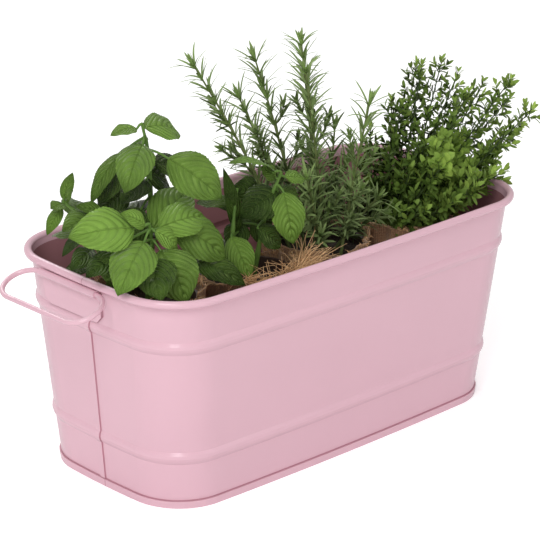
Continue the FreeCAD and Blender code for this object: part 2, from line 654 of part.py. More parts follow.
def distance_to_line(point, line):
    start, end = line
    run = end - start
    share = max(0.0, min(1.0, (point - start).dot(run) / run.dot(run)))
    return (point - start - run * share).Length


def outline_room(point):
    """How far a point lies inside the rim's outline, worked out on its rounded rectangle."""
    corner = size["corner_radius"]
    dx = abs(point.x) - (size["top_half_length"] - corner)
    dy = abs(point.y) - (size["top_half_width"] - corner)
    outside = math.hypot(max(dx, 0.0), max(dy, 0.0)) + min(max(dx, dy), 0.0)
    return corner - outside


def room_to_rim(point):
    """Free distance between a point and the tub's rim and wall."""
    above = point.z - size["tub_height"]
    inside = outline_room(point)
    near = math.hypot(inside, above) if above > 0 else inside
    return near - size["rim_room"]


def room_to_wrap(point, herb):
    """Free distance between a point and the flared top of the plant's own wrap."""
    middle = pot_middle(herb)
    inside = size["frill_radius"] - size["wrap_cloth"] - math.hypot(point.x - middle.x, point.y - middle.y)
    above = point.z - wrap_top
    near = math.hypot(inside, above) if above > 0 else inside
    return near - size["lane_gap"]


def room_in_lane(point, herb):
    """Free distance to the columns of air that the neighbouring pots need when they are lifted out."""
    room = math.inf
    for other in HERBS:
        if other == herb:
            continue
        middle = pot_middle(other)
        out = math.hypot(point.x - middle.x, point.y - middle.y)
        room = min(room, out - size["lane_half"])
    if herb == "rosemary":
        lane = size["small_basil_x"] + size["lane_half"]
        behind = point.y - (size["small_basil_y"] + size["lane_half"])
        room = min(room, max(point.x - lane, behind))
    edge = (size["rosemary_x"] + size["thyme_x"]) / 2
    if herb in ("rosemary", "thyme"):
        room = min(room, abs(point.x - edge))
    return room - size["lane_gap"]


def sprig(line, others, herb, reach, whorl, stem_radius):
    """Stem with stacked funnels, each as wide as its needles reach or as its neighbours leave room for."""
    foot, tip = line
    run = tip - foot
    length = run.Length
    along = Vector(run).normalize()
    rise_share, lip_share, start_share = 0.75, 0.3, 0.4
    profile = [Vector(0, 0, 0), Vector(stem_radius, 0, 0)]
    steps = int((length - reach * start_share) / whorl)
    for step in range(1, steps):
        base = step * whorl
        top = min(base + reach * rise_share, length)
        room = []
        for level in (base, (base + top) / 2, top):
            point = foot + along * level
            room += [distance_to_line(point, other) / 2 - size["sprig_gap"] for other in others]
            room += [room_to_rim(point), room_to_wrap(point, herb), room_in_lane(point, herb)]
        fade = min(1.0, (length - base) / (2 * reach) + lip_share)
        radius = min([reach * fade] + room)
        if radius < 2 * stem_radius:
            continue
        flare = (radius - stem_radius) * rise_share
        lip = whorl * lip_share
        profile.append(Vector(stem_radius, 0, base))
        profile.append(Vector(radius, 0, base + flare))
        profile.append(Vector(radius * (1 - lip_share / 2), 0, base + flare + lip))
        profile.append(Vector(stem_radius, 0, base + lip + whorl * lip_share))
    end = max(length, profile[-1].z + whorl * lip_share)
    profile += [Vector(stem_radius, 0, end - whorl * lip_share / 2), Vector(0, 0, end)]
    face = Part.Face(Part.makePolygon(profile + [profile[0]]))
    solid = face.revolve(Vector(0, 0, 0), Vector(0, 0, 1), 360)
    solid.Placement = FreeCAD.Placement(foot, FreeCAD.Rotation(Vector(0, 0, 1), along))
    return solid


def sprig_plant(herb, tip_shares):
    spread, rise = size[herb + "_spread"], size[herb + "_rise"]
    reach = size["rosemary_needle"] if herb == "rosemary" else size["thyme_leaf"]
    lines = sprig_lines(herb, tip_shares, spread, rise, size[herb + "_root_spread"])
    sprigs = []
    for i, line in enumerate(lines):
        others = lines[:i] + lines[i + 1:]
        sprigs.append(sprig(line, others, herb, reach, size[herb + "_whorl"], size[herb + "_stem_radius"]))
    return Part.makeCompound(sprigs)


add_shape("big_basil_plant", leafy_plant("big_basil", big_basil_stem_shares, big_basil_leaf_shares))
add_shape("small_basil_plant", leafy_plant("small_basil", small_basil_stem_shares, small_basil_leaf_shares))
add_shape("rosemary_plant", sprig_plant("rosemary", rosemary_tip_shares))
add_shape("thyme_plant", sprig_plant("thyme", thyme_tip_shares))

# Check every object, then write one file for each piece
doc.recompute()
NODES = ["tub_wall", "rim_wire", "base_plate"]
NODES += [piece + "_" + side for side in ("left", "right") for piece in ("handle_bracket", "handle")]
NODES += [herb + "_" + piece for herb in HERBS for piece in ("wrap", "twine", "pot", "soil", "plant")]
for item in doc.Objects:
    if "Invalid" in item.State or "Error" in item.State:
        raise RuntimeError(item.Label + " failed: " + str(item.State))
os.makedirs("parts", exist_ok=True)
for node in NODES:
    piece = doc.getObjectsByLabel(node)[0]
    shape = piece.Shape
    if shape.isNull() or not shape.isValid() or shape.Volume <= 0:
        raise RuntimeError(node + " has no valid solid")
    shape.exportStep("parts/" + node + ".step")
    box = shape.BoundBox
    print("%-24s solids %2d volume %10.1f  x %7.1f %7.1f  y %6.1f %6.1f  z %6.1f %6.1f" % (
        node, len(shape.Solids), shape.Volume, box.XMin, box.XMax, box.YMin, box.YMax, box.ZMin, box.ZMax))
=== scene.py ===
import math

import bpy
import numpy as np
from mathutils import Matrix, Vector


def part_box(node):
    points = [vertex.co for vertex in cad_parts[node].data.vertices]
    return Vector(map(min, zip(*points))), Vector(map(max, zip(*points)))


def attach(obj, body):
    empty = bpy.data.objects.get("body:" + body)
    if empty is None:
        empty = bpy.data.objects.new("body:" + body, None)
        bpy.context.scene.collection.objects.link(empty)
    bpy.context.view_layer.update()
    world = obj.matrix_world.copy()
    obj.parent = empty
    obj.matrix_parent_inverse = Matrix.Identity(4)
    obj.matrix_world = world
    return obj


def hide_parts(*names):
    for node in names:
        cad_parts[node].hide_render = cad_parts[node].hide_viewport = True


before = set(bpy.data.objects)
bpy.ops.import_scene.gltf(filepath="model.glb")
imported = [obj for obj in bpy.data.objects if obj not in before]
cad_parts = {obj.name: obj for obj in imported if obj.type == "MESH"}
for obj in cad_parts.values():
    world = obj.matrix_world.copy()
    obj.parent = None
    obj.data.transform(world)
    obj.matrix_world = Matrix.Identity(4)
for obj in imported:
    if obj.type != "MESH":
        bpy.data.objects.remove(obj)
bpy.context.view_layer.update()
scene = bpy.context.scene

# Camera: a long lens stands off the tub's left front corner and looks down on the herbs.
# The view's direction, roll and distance are those of the photograph.
camera_place = Vector((-1.19275, -1.22112, 0.76872))
camera_turn, camera_height, camera_roll = (math.radians(angle) for angle in (-44.173, 20.864, 0.837))
camera_aim = (Matrix.Rotation(camera_turn, 4, "Z") @ Matrix.Rotation(math.pi / 2 - camera_height, 4, "X")
              @ Matrix.Rotation(camera_roll, 4, "Z"))
camera = bpy.data.objects.new("camera", bpy.data.cameras.new("camera"))
camera.data.sensor_width = 36.0
camera.data.lens = 168.627
camera.data.clip_end = 30.0
camera.matrix_world = Matrix.Translation(camera_place) @ camera_aim
scene.collection.objects.link(camera)
scene.camera = camera


# Studio: a white floor, a white surround that only the camera sees at full strength, one large soft
# lamp at the upper left, and weaker ones in front, behind and low at the camera's side.
def feed(node, inputs):
    """Gives each named input of a node its value, or links it from the socket given for it."""
    for name, value in inputs.items():
        if isinstance(value, bpy.types.NodeSocket):
            node.id_data.links.new(value, node.inputs[name])
        else:
            node.inputs[name].default_value = value


def add_node(tree, kind, inputs=None, **settings):
    """Shader node of a kind with its settings and its inputs."""
    node = tree.nodes.new("ShaderNode" + kind)
    for name, value in settings.items():
        setattr(node, name, value)
    feed(node, inputs or {})
    return node


def tree_of(values):
    """Node tree of the first socket among some values."""
    return next(value for value in values if isinstance(value, bpy.types.NodeSocket)).id_data


def calc(operation, *values):
    """Result of one arithmetic step on up to three values, at least one of them a socket."""
    return add_node(tree_of(values), "Math", dict(enumerate(values)), operation=operation).outputs[0]


def blend(share, first, second, mode="MIX"):
    """Colour between first and second, by a share or by a blend mode."""
    values = {0: share, 6: first, 7: second}
    return add_node(tree_of(values.values()), "Mix", values, data_type="RGBA", blend_type=mode).outputs[2]


def own_place(tree):
    """Place on the piece itself, so that a pattern moves with it."""
    return add_node(tree, "TexCoord").outputs["Object"]


def noise(place, scale, detail):
    """Soft noise from 0 to 1 at a place; scale is in lumps to the metre."""
    return add_node(place.id_data, "TexNoise", {"Vector": place, "Scale": scale, "Detail": detail}).outputs[0]


def bumped(height, strength, distance):
    """Normal of a surface that has a height over it."""
    inputs = {"Height": height, "Strength": strength, "Distance": distance}
    return add_node(height.id_data, "Bump", inputs).outputs[0]


def new_material(name):
    """Empty node material with its Principled shader already linked to the output."""
    material = bpy.data.materials.new(name)
    material.use_nodes = True
    tree = material.node_tree
    tree.nodes.clear()
    shader = add_node(tree, "BsdfPrincipled")
    add_node(tree, "OutputMaterial", {"Surface": shader.outputs[0]})
    return material, tree, shader


white = (1, 1, 1, 1)
floor_half, floor_glow = 8.0, 0.30
floor_mesh = bpy.data.meshes.new("studio_floor")
floor_corners = [(x * floor_half, y * floor_half, 0) for x, y in ((-1, -1), (1, -1), (1, 1), (-1, 1))]
floor_mesh.from_pydata(floor_corners, [], [(0, 1, 2, 3)])
floor = bpy.data.objects.new("studio_floor", floor_mesh)
scene.collection.objects.link(floor)
floor_white, tree, shader = new_material("floor_white")
seen = add_node(tree, "LightPath").outputs["Is Camera Ray"]
feed(shader, {"Base Color": (0.93, 0.93, 0.93, 1), "Roughness": 0.9, "Specular IOR Level": 0.0,
              "Emission Color": white, "Emission Strength": calc("MULTIPLY", seen, floor_glow)})
floor_mesh.materials.append(floor_white)

surround_light = 0.55
world = bpy.data.worlds.new("surround")
world.use_nodes = True
scene.world = world
tree = world.node_tree
tree.nodes.clear()
rays = add_node(tree, "LightPath").outputs
direct = calc("MAXIMUM", rays["Is Camera Ray"], rays["Is Transmission Ray"])
strength = calc("MULTIPLY_ADD", direct, 1 - surround_light, surround_light)
surround = add_node(tree, "Background", {"Color": white, "Strength": strength})
add_node(tree, "OutputWorld", {"Surface": surround.outputs[0]})


def soft_lamp(name, place, target, width, power):
    """Square area lamp that faces a target point."""
    lamp = bpy.data.objects.new(name, bpy.data.lights.new(name, "AREA"))
    lamp.data.size = width
    lamp.data.energy = power
    lamp.location = place
    lamp.rotation_mode = "QUATERNION"
    lamp.rotation_quaternion = (Vector(target) - Vector(place)).to_track_quat("-Z", "Y")
    scene.collection.objects.link(lamp)


soft_lamp("key_lamp", (-1.6, -0.9, 1.8), (0, 0, 0.12), 1.0, 24.0)
soft_lamp("low_lamp", (-2.05, -2.05, 0.78), (0, 0, 0.1), 0.9, 11.0)
soft_lamp("front_lamp", (0.9, -2.0, 1.0), (0, 0, 0.1), 1.4, 4.0)
soft_lamp("back_lamp", (0.5, 1.6, 1.7), (0, 0, 0.2), 1.0, 14.0)


# Painted tub: folded sheet steel, sprayed in satin pink with its seams closed before painting.
# The wall, foot ring, brackets and handles are the frame's own pieces and get this paint.
def new_group(name, inputs, outputs):
    """Empty node group with its named sockets, and the sockets that it is given."""
    group = bpy.data.node_groups.new(name, "ShaderNodeTree")
    for way, sockets in (("INPUT", inputs), ("OUTPUT", outputs)):
        for socket, kind in sockets.items():
            group.interface.new_socket(socket, in_out=way, socket_type="NodeSocket" + kind)
    return group, group.nodes.new("NodeGroupInput").outputs


def paint_group():
    """Sprayed satin paint: orange peel height, faint cloudiness of colour, and uneven gloss."""
    group, given = new_group("sprayed_paint", {"Color": "Color", "Gloss": "Float"},
                             {"Color": "Color", "Roughness": "Float", "Normal": "Vector"})
    place = own_place(group)
    cloud = noise(place, 14.0, 3.0)
    shade = calc("MULTIPLY_ADD", cloud, 0.06, 0.97)
    lit = add_node(group, "CombineColor", {0: shade, 1: shade, 2: shade}).outputs[0]
    height = calc("MULTIPLY_ADD", noise(place, 90.0, 1.0), 2.0, noise(place, 700.0, 2.0))
    feed(group.nodes.new("NodeGroupOutput"), {
        "Color": blend(1.0, given["Color"], lit, "MULTIPLY"),
        "Roughness": calc("MULTIPLY_ADD", cloud, 0.10, given["Gloss"]),
        "Normal": bumped(height, 0.12, 0.0002)})
    return group


paint, paint_gloss = paint_group(), 0.13
pink = (0.725, 0.452, 0.525, 1)
# Colour of the painted shadow lines: painted shade in the crevices at the foot seam and lock seam, and under
# the bracket plates
pink_shadow = (0.46, 0.20, 0.25, 1)
# Darker pink for the wall's inside below the curl: painted shade, where little light reaches into the tub
pink_painted_shade_inside = (0.37, 0.175, 0.195, 1)
curl_depth, seam_half, plate_cut, end_start = 0.0075, 0.0023, 0.006, 0.15
curl_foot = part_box("tub_wall")[1].z - curl_depth
foot_ring_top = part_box("base_plate")[1].z
plate_low, plate_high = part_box("handle_bracket_left")

# Painted shadow lines beside an edge: how far off it the line's middle is, and half its width
foot_shadow_line, seam_shadow_line, plate_shadow_line = (0.0003, 0.0007), (0.0002, 0.0006), (0.0003, 0.0009)


def fall(value, reach):
    """Mask that is 1 at nought and falls evenly to 0 at its reach."""
    return calc("SUBTRACT", 1.0, calc("MINIMUM", calc("DIVIDE", value, reach), 1.0))


def band(value, centre, half):
    """Mask that is 1 at a centre value and falls to 0 at half a width from it."""
    return fall(calc("ABSOLUTE", calc("SUBTRACT", value, centre)), half)


def painted(name, with_seams):
    """Satin pink paint; the wall and foot ring also have thin painted shadow lines where folded edges meet
    and round the bracket plates, and painted shade inside the wall.
    """
    material, tree, shader = new_material(name)
    color = pink
    if with_seams:
        place = own_place(tree)
        x, y, z = add_node(tree, "SeparateXYZ", {0: place}).outputs
        # Thin painted shadow lines along the foot seam, the lock seam's edge and round each bracket plate
        at_foot = band(z, foot_ring_top + foot_shadow_line[0], foot_shadow_line[1])
        at_side = band(y, -seam_half - seam_shadow_line[0], seam_shadow_line[1])
        at_seam = calc("MULTIPLY", at_side, calc("LESS_THAN", x, -end_start))
        from_middle = calc("ABSOLUTE", calc("SUBTRACT", y, (plate_low.y + plate_high.y) / 2))
        sideways = calc("SUBTRACT", from_middle, (plate_high.y - plate_low.y) / 2)
        downward = calc("SUBTRACT", plate_low.z, z)
        past_cut = calc("ADD", sideways, calc("ADD", downward, plate_cut))
        from_plate = calc("MAXIMUM", sideways, downward)
        from_plate = calc("MAXIMUM", from_plate, calc("MULTIPLY", past_cut, math.sqrt(0.5)))
        at_end = calc("GREATER_THAN", calc("ABSOLUTE", x), end_start)
        at_plate = calc("MULTIPLY", band(from_plate, *plate_shadow_line), at_end)
        at_plate = calc("MULTIPLY", at_plate, calc("LESS_THAN", z, plate_high.z))
        line = calc("MAXIMUM", calc("MAXIMUM", at_foot, at_seam), at_plate)
        # The wall's inside below the curl is given the darker pink: painted shade
        normal = add_node(tree, "NewGeometry").outputs["True Normal"]
        level = add_node(tree, "VectorMath", {0: place, 1: (1.0, 1.0, 0.0)}, operation="MULTIPLY")
        outward = add_node(tree, "VectorMath", {0: normal, 1: level.outputs[0]}, operation="DOT_PRODUCT")
        inside_shade = calc("LESS_THAN", outward.outputs["Value"], 0.0)
        inside_shade = calc("MULTIPLY", inside_shade, calc("LESS_THAN", z, curl_foot))
        color = blend(line, blend(inside_shade, pink, pink_painted_shade_inside), pink_shadow)
    coat = add_node(tree, "Group", {"Color": color, "Gloss": paint_gloss}, node_tree=paint).outputs
    feed(shader, {"Base Color": coat["Color"], "Roughness": coat["Roughness"], "Normal": coat["Normal"],
                  "Specular IOR Level": 0.55})
    return material


def dress(nodes, material):
    """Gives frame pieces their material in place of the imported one."""
    for node in nodes:
        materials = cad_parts[node].data.materials
        materials.clear()
        materials.append(material)


dress(("tub_wall", "base_plate"), painted("wall_paint", True))
dress(("handle_bracket_left", "handle_left", "handle_bracket_right", "handle_right"),
      painted("handle_paint", False))

# Rim wire: drawn steel inside the curl, bright with faint lines from the drawing die.
# It is closed in by the curl, so it only shows if the curl is opened.
drawn_steel, tree, shader = new_material("drawn_steel")
lines = noise(own_place(tree), 400.0, 2.0)
feed(shader, {"Base Color": (0.55, 0.55, 0.55, 1), "Metallic": 1.0,
              "Roughness": calc("MULTIPLY_ADD", lines, 0.2, 0.3)})
dress(["rim_wire"], drawn_steel)

# Grow pots: thin brown plastic with a rolled lip, made by vacuum forming, so dull and slightly uneven.
# Each stands in its burlap wrap on the tub's floor.
herbs = ("big_basil", "small_basil", "rosemary", "thyme")
pot_plastic, tree, shader = new_material("pot_plastic")
patch = noise(own_place(tree), 60.0, 4.0)
feed(shader, {"Base Color": blend(patch, (0.035, 0.018, 0.012, 1), (0.075, 0.04, 0.028, 1)),
              "Roughness": calc("MULTIPLY_ADD", patch, 0.25, 0.4), "Normal": bumped(patch, 0.2, 0.001)})
dress([herb + "_pot" for herb in herbs], pot_plastic)


# Potting soil: dark peat with crumbs and bits of bark, heaped a little in the middle of each pot.
# One closed mound per pot, inside the block that the frame holds for it.
def grid_faces(rows, columns, closed):
    """Quads of a grid of points given row by row; closed joins the last column to the first."""
    row = np.arange(rows - 1)[:, None]
    column = np.arange(columns if closed else columns - 1)[None, :]
    beside = (column + 1) % columns
    below = row * columns
    above = below + columns
    return np.stack([below + column, below + beside, above + beside, above + column], -1).reshape(-1, 4)


def new_piece(herb, kind, points, faces, material, node=None, uv=None, tone=None, caps=()):
    """Mesh object that rides on a herb's body and may replace its node; uv and tone are for each point."""
    name = f"{herb}_{kind}"
    mesh = bpy.data.meshes.new(name)
    mesh.from_pydata(np.reshape(points, (-1, 3)).tolist(), [], faces.tolist() + list(caps))
    mesh.polygons.foreach_set("use_smooth", np.ones(len(mesh.polygons), bool))
    if uv is not None:
        layer = mesh.uv_layers.new(name="surface")
        layer.data.foreach_set("uv", np.reshape(uv, (-1, 2))[faces.ravel()].astype(np.float32).ravel())
    if tone is not None:
        layer = mesh.attributes.new("tone", "FLOAT", "POINT")
        layer.data.foreach_set("value", tone.astype(np.float32))
    mesh.update()
    mesh.materials.append(material)
    piece = bpy.data.objects.new(name, mesh)
    scene.collection.objects.link(piece)
    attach(piece, herb)
    if node:
        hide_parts(f"{herb}_{node}")
    return piece


# The point on each pot's axis at the soil's top, from which all of that herb is measured
pot_middles = {}
for herb in herbs:
    low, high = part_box(herb + "_soil")
    pot_middles[herb] = np.array([(low.x + high.x) / 2, (low.y + high.y) / 2, high.z])

peat, tree, shader = new_material("peat")
place = own_place(tree)
crumb = add_node(tree, "TexVoronoi", {"Vector": place, "Scale": 420.0}).outputs["Distance"]
speck = noise(place, 240.0, 6.0)
feed(shader, {"Base Color": blend(speck, (0.008, 0.005, 0.003, 1), (0.07, 0.042, 0.024, 1)),
              "Roughness": 0.95, "Normal": bumped(calc("ADD", crumb, speck), 0.9, 0.002)})
soil_taper, stir_depth, edge_drop = 0.81, 0.09, 0.0035


def soil_mound(herb, seed):
    """Closed turned block whose top is stirred by waves of four sizes that fade out at the edge."""
    low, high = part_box(herb + "_soil")
    radius = (high.x - low.x) / 2
    rng = np.random.default_rng(seed)
    turn, out = np.meshgrid(np.linspace(0, 2 * math.pi, 72, endpoint=False), np.linspace(1, 0.02, 26))
    x, y = out * radius * np.cos(turn), out * radius * np.sin(turn)
    lift = np.zeros_like(x)
    for waves in (60, 130, 260, 480):
        angle, phase = rng.uniform(0, 2 * math.pi, 2)
        c, s = math.cos(angle), math.sin(angle)
        stir = np.sin((x * c + y * s) * waves + phase) + np.cos((y * c - x * s) * waves + phase)
        lift += stir / waves * stir_depth
    top = np.stack([x, y, (lift - edge_drop) * (1 - out ** 6)], -1)
    foot = top[:1] * [soil_taper, soil_taper, 0] + [0, 0, low.z - high.z]
    rows = np.concatenate([foot, top]) + pot_middles[herb]
    ring = list(range(turn.shape[1]))
    caps = [ring[::-1], [(len(rows) - 1) * len(ring) + i for i in ring]]
    new_piece(herb, "potting_soil", rows, grid_faces(len(rows), len(ring), True), peat, "soil",
              caps=caps)


for seed, herb in enumerate(herbs, start=1):
    soil_mound(herb, seed)

# Burlap wraps: a square of coarse jute gathered up round each pot and tied under the pot's lip.
# Above the tie the cloth stands out in pleats, and its cut edge is frayed to loose threads.
jute_light = (0.66, 0.38, 0.20, 1)
jute_dark = (0.21, 0.10, 0.045, 1)
thread_pitch, thread_wander = 0.0013, 0.0007
cloth_half, cloth_thickness = 0.00075, 0.0012


def burlap_material():
    """Plain weave from the cloth's own lengths: thick and thin threads cross over and under, with painted
    shade in the hollows between them.
    """
    material, tree, shader = new_material("burlap")
    flat = add_node(tree, "UVMap", uv_map="surface").outputs[0]
    wander = add_node(tree, "TexNoise", {"Vector": flat, "Scale": 120.0, "Detail": 2.0}).outputs["Color"]
    offset = add_node(tree, "VectorMath", {0: wander, 1: (thread_wander, thread_wander, 0)},
                      operation="MULTIPLY")
    bent = add_node(tree, "VectorMath", {0: flat, 1: offset.outputs[0]}, operation="ADD").outputs[0]
    axes = add_node(tree, "SeparateXYZ", {0: bent}).outputs
    warp, weft = (calc("SINE", calc("MULTIPLY", axes[i], 2 * math.pi / thread_pitch)) for i in (0, 1))
    height = calc("MULTIPLY_ADD", calc("MULTIPLY", warp, weft), 0.5, calc("MAXIMUM", warp, weft))
    fibre = noise(bent, 900.0, 3.0)
    # The weave's low parts are painted darker: painted shade in the hollows between threads
    hollow_shade = calc("MULTIPLY_ADD", height, 0.28, 0.45)
    share = calc("MULTIPLY", hollow_shade, calc("ADD", noise(flat, 60.0, 3.0), fibre))
    feed(shader, {"Base Color": blend(share, jute_dark, jute_light), "Roughness": 0.92, "Sheen Weight": 0.25,
                  "Normal": bumped(calc("MULTIPLY_ADD", fibre, 0.8, height), 0.9, 0.0005)})
    return material


def tone_of(tree):
    """Tone of each small shape in a heap: for threads from dark to pale, for leaves from young to old and
    dark, the dark end partly painted shade.
    """
    return add_node(tree, "Attribute", attribute_name="tone").outputs["Fac"]


def thread_material():
    """Loose jute fibre: straw coloured, with streaks from pale to brown."""
    material, tree, shader = new_material("jute_thread")
    share = calc("MULTIPLY_ADD", noise(own_place(tree), 260.0, 3.0), 0.5, tone_of(tree))
    feed(shader, {"Base Color": blend(share, (0.27, 0.115, 0.040, 1), (0.90, 0.58, 0.30, 1)),
                  "Roughness": 0.8})
    return material


burlap = burlap_material()
jute_thread = thread_material()


def swept_tube(path, radius, sides):
    """Tube round a path: rings of points at equal angles on two directions square to the path."""
    path = np.asarray(path, float)
    step = np.gradient(path, axis=0)
    along = step / np.linalg.norm(step, axis=1, keepdims=True)
    mostly_up = np.abs(along[:, 2]).mean() > 0.8
    guide = np.array([1.0, 0.0, 0.0]) if mostly_up else np.array([0.0, 0.0, 1.0])
    side = np.cross(along, guide)
    side /= np.linalg.norm(side, axis=1, keepdims=True)
    top = np.cross(side, along)
    turn = np.linspace(0, 2 * math.pi, sides, endpoint=False)[None, :, None]
    radius = np.broadcast_to(radius, len(path))[:, None, None]
    return path[:, None] + (side[:, None] * np.cos(turn) + top[:, None] * np.sin(turn)) * radius


class Heap:
    """Points, faces, places and tones of many small shapes that make one mesh."""

    def __init__(self):
        self.points, self.faces, self.uv, self.tone, self.count = [], [], [], [], 0

    def add(self, points, faces, tone, uv=None):
        """One more shape of one tone; uv is left out where no pattern follows the surface."""
        flat = np.reshape(points, (-1, 3))
        self.points.append(flat)
        self.faces.append(faces + self.count)
        self.tone.append(np.full(len(flat), tone))
        self.uv.append(np.zeros((len(flat), 2)) if uv is None else np.reshape(uv, (-1, 2)))
        self.count += len(flat)

    def tube(self, path, radius, sides, tone=0.0):
        """One more tube round a path."""
        self.add(swept_tube(path, radius, sides), grid_faces(len(path), sides, True), tone)

    def piece(self, herb, kind, material, slot, node=None):
        """All the shapes as one piece of a herb."""
        points, faces, uv, tone = map(np.concatenate, (self.points, self.faces, self.uv, self.tone))
        return new_piece(herb, kind, points, faces, material, node, uv, tone)


foot_inset, neck_inset, tie_height = 0.0065, 0.0009, 0.100


def wrap_profile(herb):
    """Radius and height of the cloth at places from the middle of its bottom to the frayed edge."""
    low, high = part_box(herb + "_wrap")
    pot_low, pot_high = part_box(herb + "_pot")
    lip = (pot_high.x - pot_low.x) / 2
    foot, neck, edge = lip - foot_inset, lip - neck_inset, (high.x - low.x) / 2 - cloth_half
    bottom, tie, top = low.z + cloth_half, low.z + tie_height, high.z - cloth_half
    corners = np.array([
        (0.0006, bottom), (foot * 0.5, bottom), (foot - 0.002, bottom), (foot, bottom + 0.002),
        ((foot + neck) / 2, (bottom + tie) / 2 + 0.001), (neck, tie - 0.004), (neck + 0.0002, tie),
        (neck + 0.0012, tie + 0.006), (edge - 0.0012, tie + 0.019), (edge, top)])
    lengths = np.concatenate([[0], np.cumsum(np.hypot(*np.diff(corners, axis=0).T))])
    places = np.concatenate([np.linspace(0, lengths[3], 14)[:-1], np.linspace(lengths[3], lengths[-1], 74)])
    radius, height = (np.interp(places, lengths, column) for column in corners.T)
    return places, radius[:, None], height[:, None], tie


pleat_depth, ruffle_depth, flat_radius = 0.00035, 0.0012, 0.02


def burlap_wrap(herb, seed):
    """Turned cloth whose pleats grow from nothing at the foot to a full ruffle above the tie."""
    rng = np.random.default_rng(seed)
    middle = pot_middles[herb]
    places, radius, height, tie = wrap_profile(herb)
    turn = np.linspace(0, 2 * math.pi, 180, endpoint=False)
    grow = (height - height.min()) / (height.max() - height.min())
    ruffle = np.clip((height - tie) / (height.max() - tie), 0, 1)
    folds = 0.0
    for pleats, size in ((9, 0.5), (14, 0.8), (21, 0.5), (33, 0.25)):
        phase = rng.uniform(0, 2 * math.pi)
        folds = folds + size * np.cos(pleats * turn + phase + 0.8 * np.sin(2 * turn + phase))
    out = radius + np.where(radius > flat_radius, folds * (pleat_depth * grow + ruffle_depth * ruffle), 0)
    edge_wave = 0.0022 * np.sin(3 * turn + rng.uniform(0, 6)) + 0.0012 * np.sin(7 * turn + rng.uniform(0, 6))
    rise = height + ruffle ** 2 * (edge_wave - 0.003)
    points = np.stack([middle[0] + out * np.cos(turn), middle[1] + out * np.sin(turn), rise], -1)
    uv = np.stack(np.broadcast_arrays(turn * radius.max(), places[:, None]), -1)
    faces = grid_faces(len(places), len(turn), True)
    cloth = new_piece(herb, "burlap", points, faces, burlap, "wrap", uv)
    thick = cloth.modifiers.new("thickness", "SOLIDIFY")
    thick.thickness = cloth_thickness
    thick.offset = 0.0
    return cloth, points, float(places[-1])


# Threads that stand out of the cut edge: their place round the rim and its spread in degrees,
# how long they are, and how many
tufts = {
    "big_basil": [(150, 60, 0.012, 90), (215, 40, 0.014, 70), (40, 120, 0.008, 90), (300, 60, 0.009, 60)],
    "small_basil": [(285, 50, 0.027, 620), (240, 40, 0.016, 160), (90, 180, 0.008, 160)],
    "rosemary": [(270, 180, 0.005, 200), (10, 60, 0.006, 60)],
    "thyme": [(200, 180, 0.006, 160)],
}
thread_radii = np.linspace(0.00046, 0.00018, 8)

# The tub's inside at the floor, and how far each wall leans out for each metre of height
side_foot, side_lean, end_foot, end_lean = 0.0725, 0.075, 0.1610, 0.100


def within_tub(path):
    """Path moved inside the tub's sloping walls wherever it would reach them."""
    x, y, z = path.T
    end, side = end_foot + end_lean * z, side_foot + side_lean * z
    return np.stack([np.clip(x, -end, end), np.clip(y, -side, side), z], -1)


def frayed_edge(herb, rim, seed):
    """Thin bent threads that leave the cloth's edge, each curling by its own amount and direction."""
    rng = np.random.default_rng(seed)
    middle = pot_middles[herb]
    heap = Heap()
    rim_turn = np.arctan2(rim[:, 1] - middle[1], rim[:, 0] - middle[0])
    t = np.linspace(0, 1, len(thread_radii))[:, None]
    for centre, spread, length, count in tufts[herb]:
        for _ in range(count):
            angle = math.radians(centre + spread * rng.normal(0, 0.4))
            near = np.argmin(np.abs(np.angle(np.exp(1j * (rim_turn - angle)))))
            out = np.array([math.cos(angle), math.sin(angle), 0])
            sideways = np.array([-out[1], out[0], 0])
            start = rim[near] - np.array([0, 0, 0.002]) - out * rng.uniform(0, 0.0015)
            reach = length * rng.uniform(0.4, 1.0)
            lean_out, lean_side = rng.uniform(-0.1, 0.45), rng.normal(0, 0.4)
            bend_out, bend_side, droop = rng.normal(0.05, 0.35), rng.normal(0.25, 0.6), rng.uniform(0.1, 1.0)
            rise = math.sqrt(max(0.15, 1 - lean_out ** 2))
            path = start + reach * (
                out * (lean_out * t + bend_out * t ** 2)
                + sideways * (lean_side * t + bend_side * t ** 2)
                + np.array([0, 0, 1]) * (rise * t - droop * t ** 2)
            )
            heap.tube(within_tub(path), thread_radii * rng.uniform(0.6, 1.3), 3, rng.uniform(0.0, 0.9))
    return heap.piece(herb, "frayed_threads", jute_thread, "burlap")


for seed, herb in enumerate(herbs, start=21):
    cloth, points, length = burlap_wrap(herb, seed)
    threads = frayed_edge(herb, points[-1], seed)

# Twine ties: two turns of two-strand jute twine round the neck of each wrap.
# The strands are twisted round each other, so each turn shows slanting lays.
twine_lay = 0.0036
radii_in_ties = 4.2


def twine_turns(herb, seed):
    """Two closed rings; in each, two strands circle the ring's own line once every lay length."""
    low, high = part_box(herb + "_twine")
    middle = pot_middles[herb]
    thick = (high.z - low.z) / radii_in_ties
    radius = (high.x - low.x) / 2 - thick
    rng = np.random.default_rng(seed)
    heap = Heap()
    lays = round(2 * math.pi * radius / twine_lay)
    turn = np.linspace(0, 2 * math.pi, lays * 8, endpoint=False)
    faces = grid_faces(len(turn) + 1, 6, True)
    for level in (low.z + thick, high.z - thick):
        wobble = 0.0003 * np.sin(3 * turn + rng.uniform(0, 6))
        for strand in (0, math.pi):
            lay = turn * lays + strand
            out = radius + thick * 0.5 * np.cos(lay)
            rise = level + wobble + thick * 0.5 * np.sin(lay)
            path = np.stack([middle[0] + out * np.cos(turn), middle[1] + out * np.sin(turn), rise], -1)
            rings = swept_tube(np.concatenate([path[-1:], path, path[:2]]), thick * 0.5, 6)[1:-1]
            heap.add(rings, faces, 0.25)
    heap.piece(herb, "jute_twine", jute_thread, "twine", "twine")


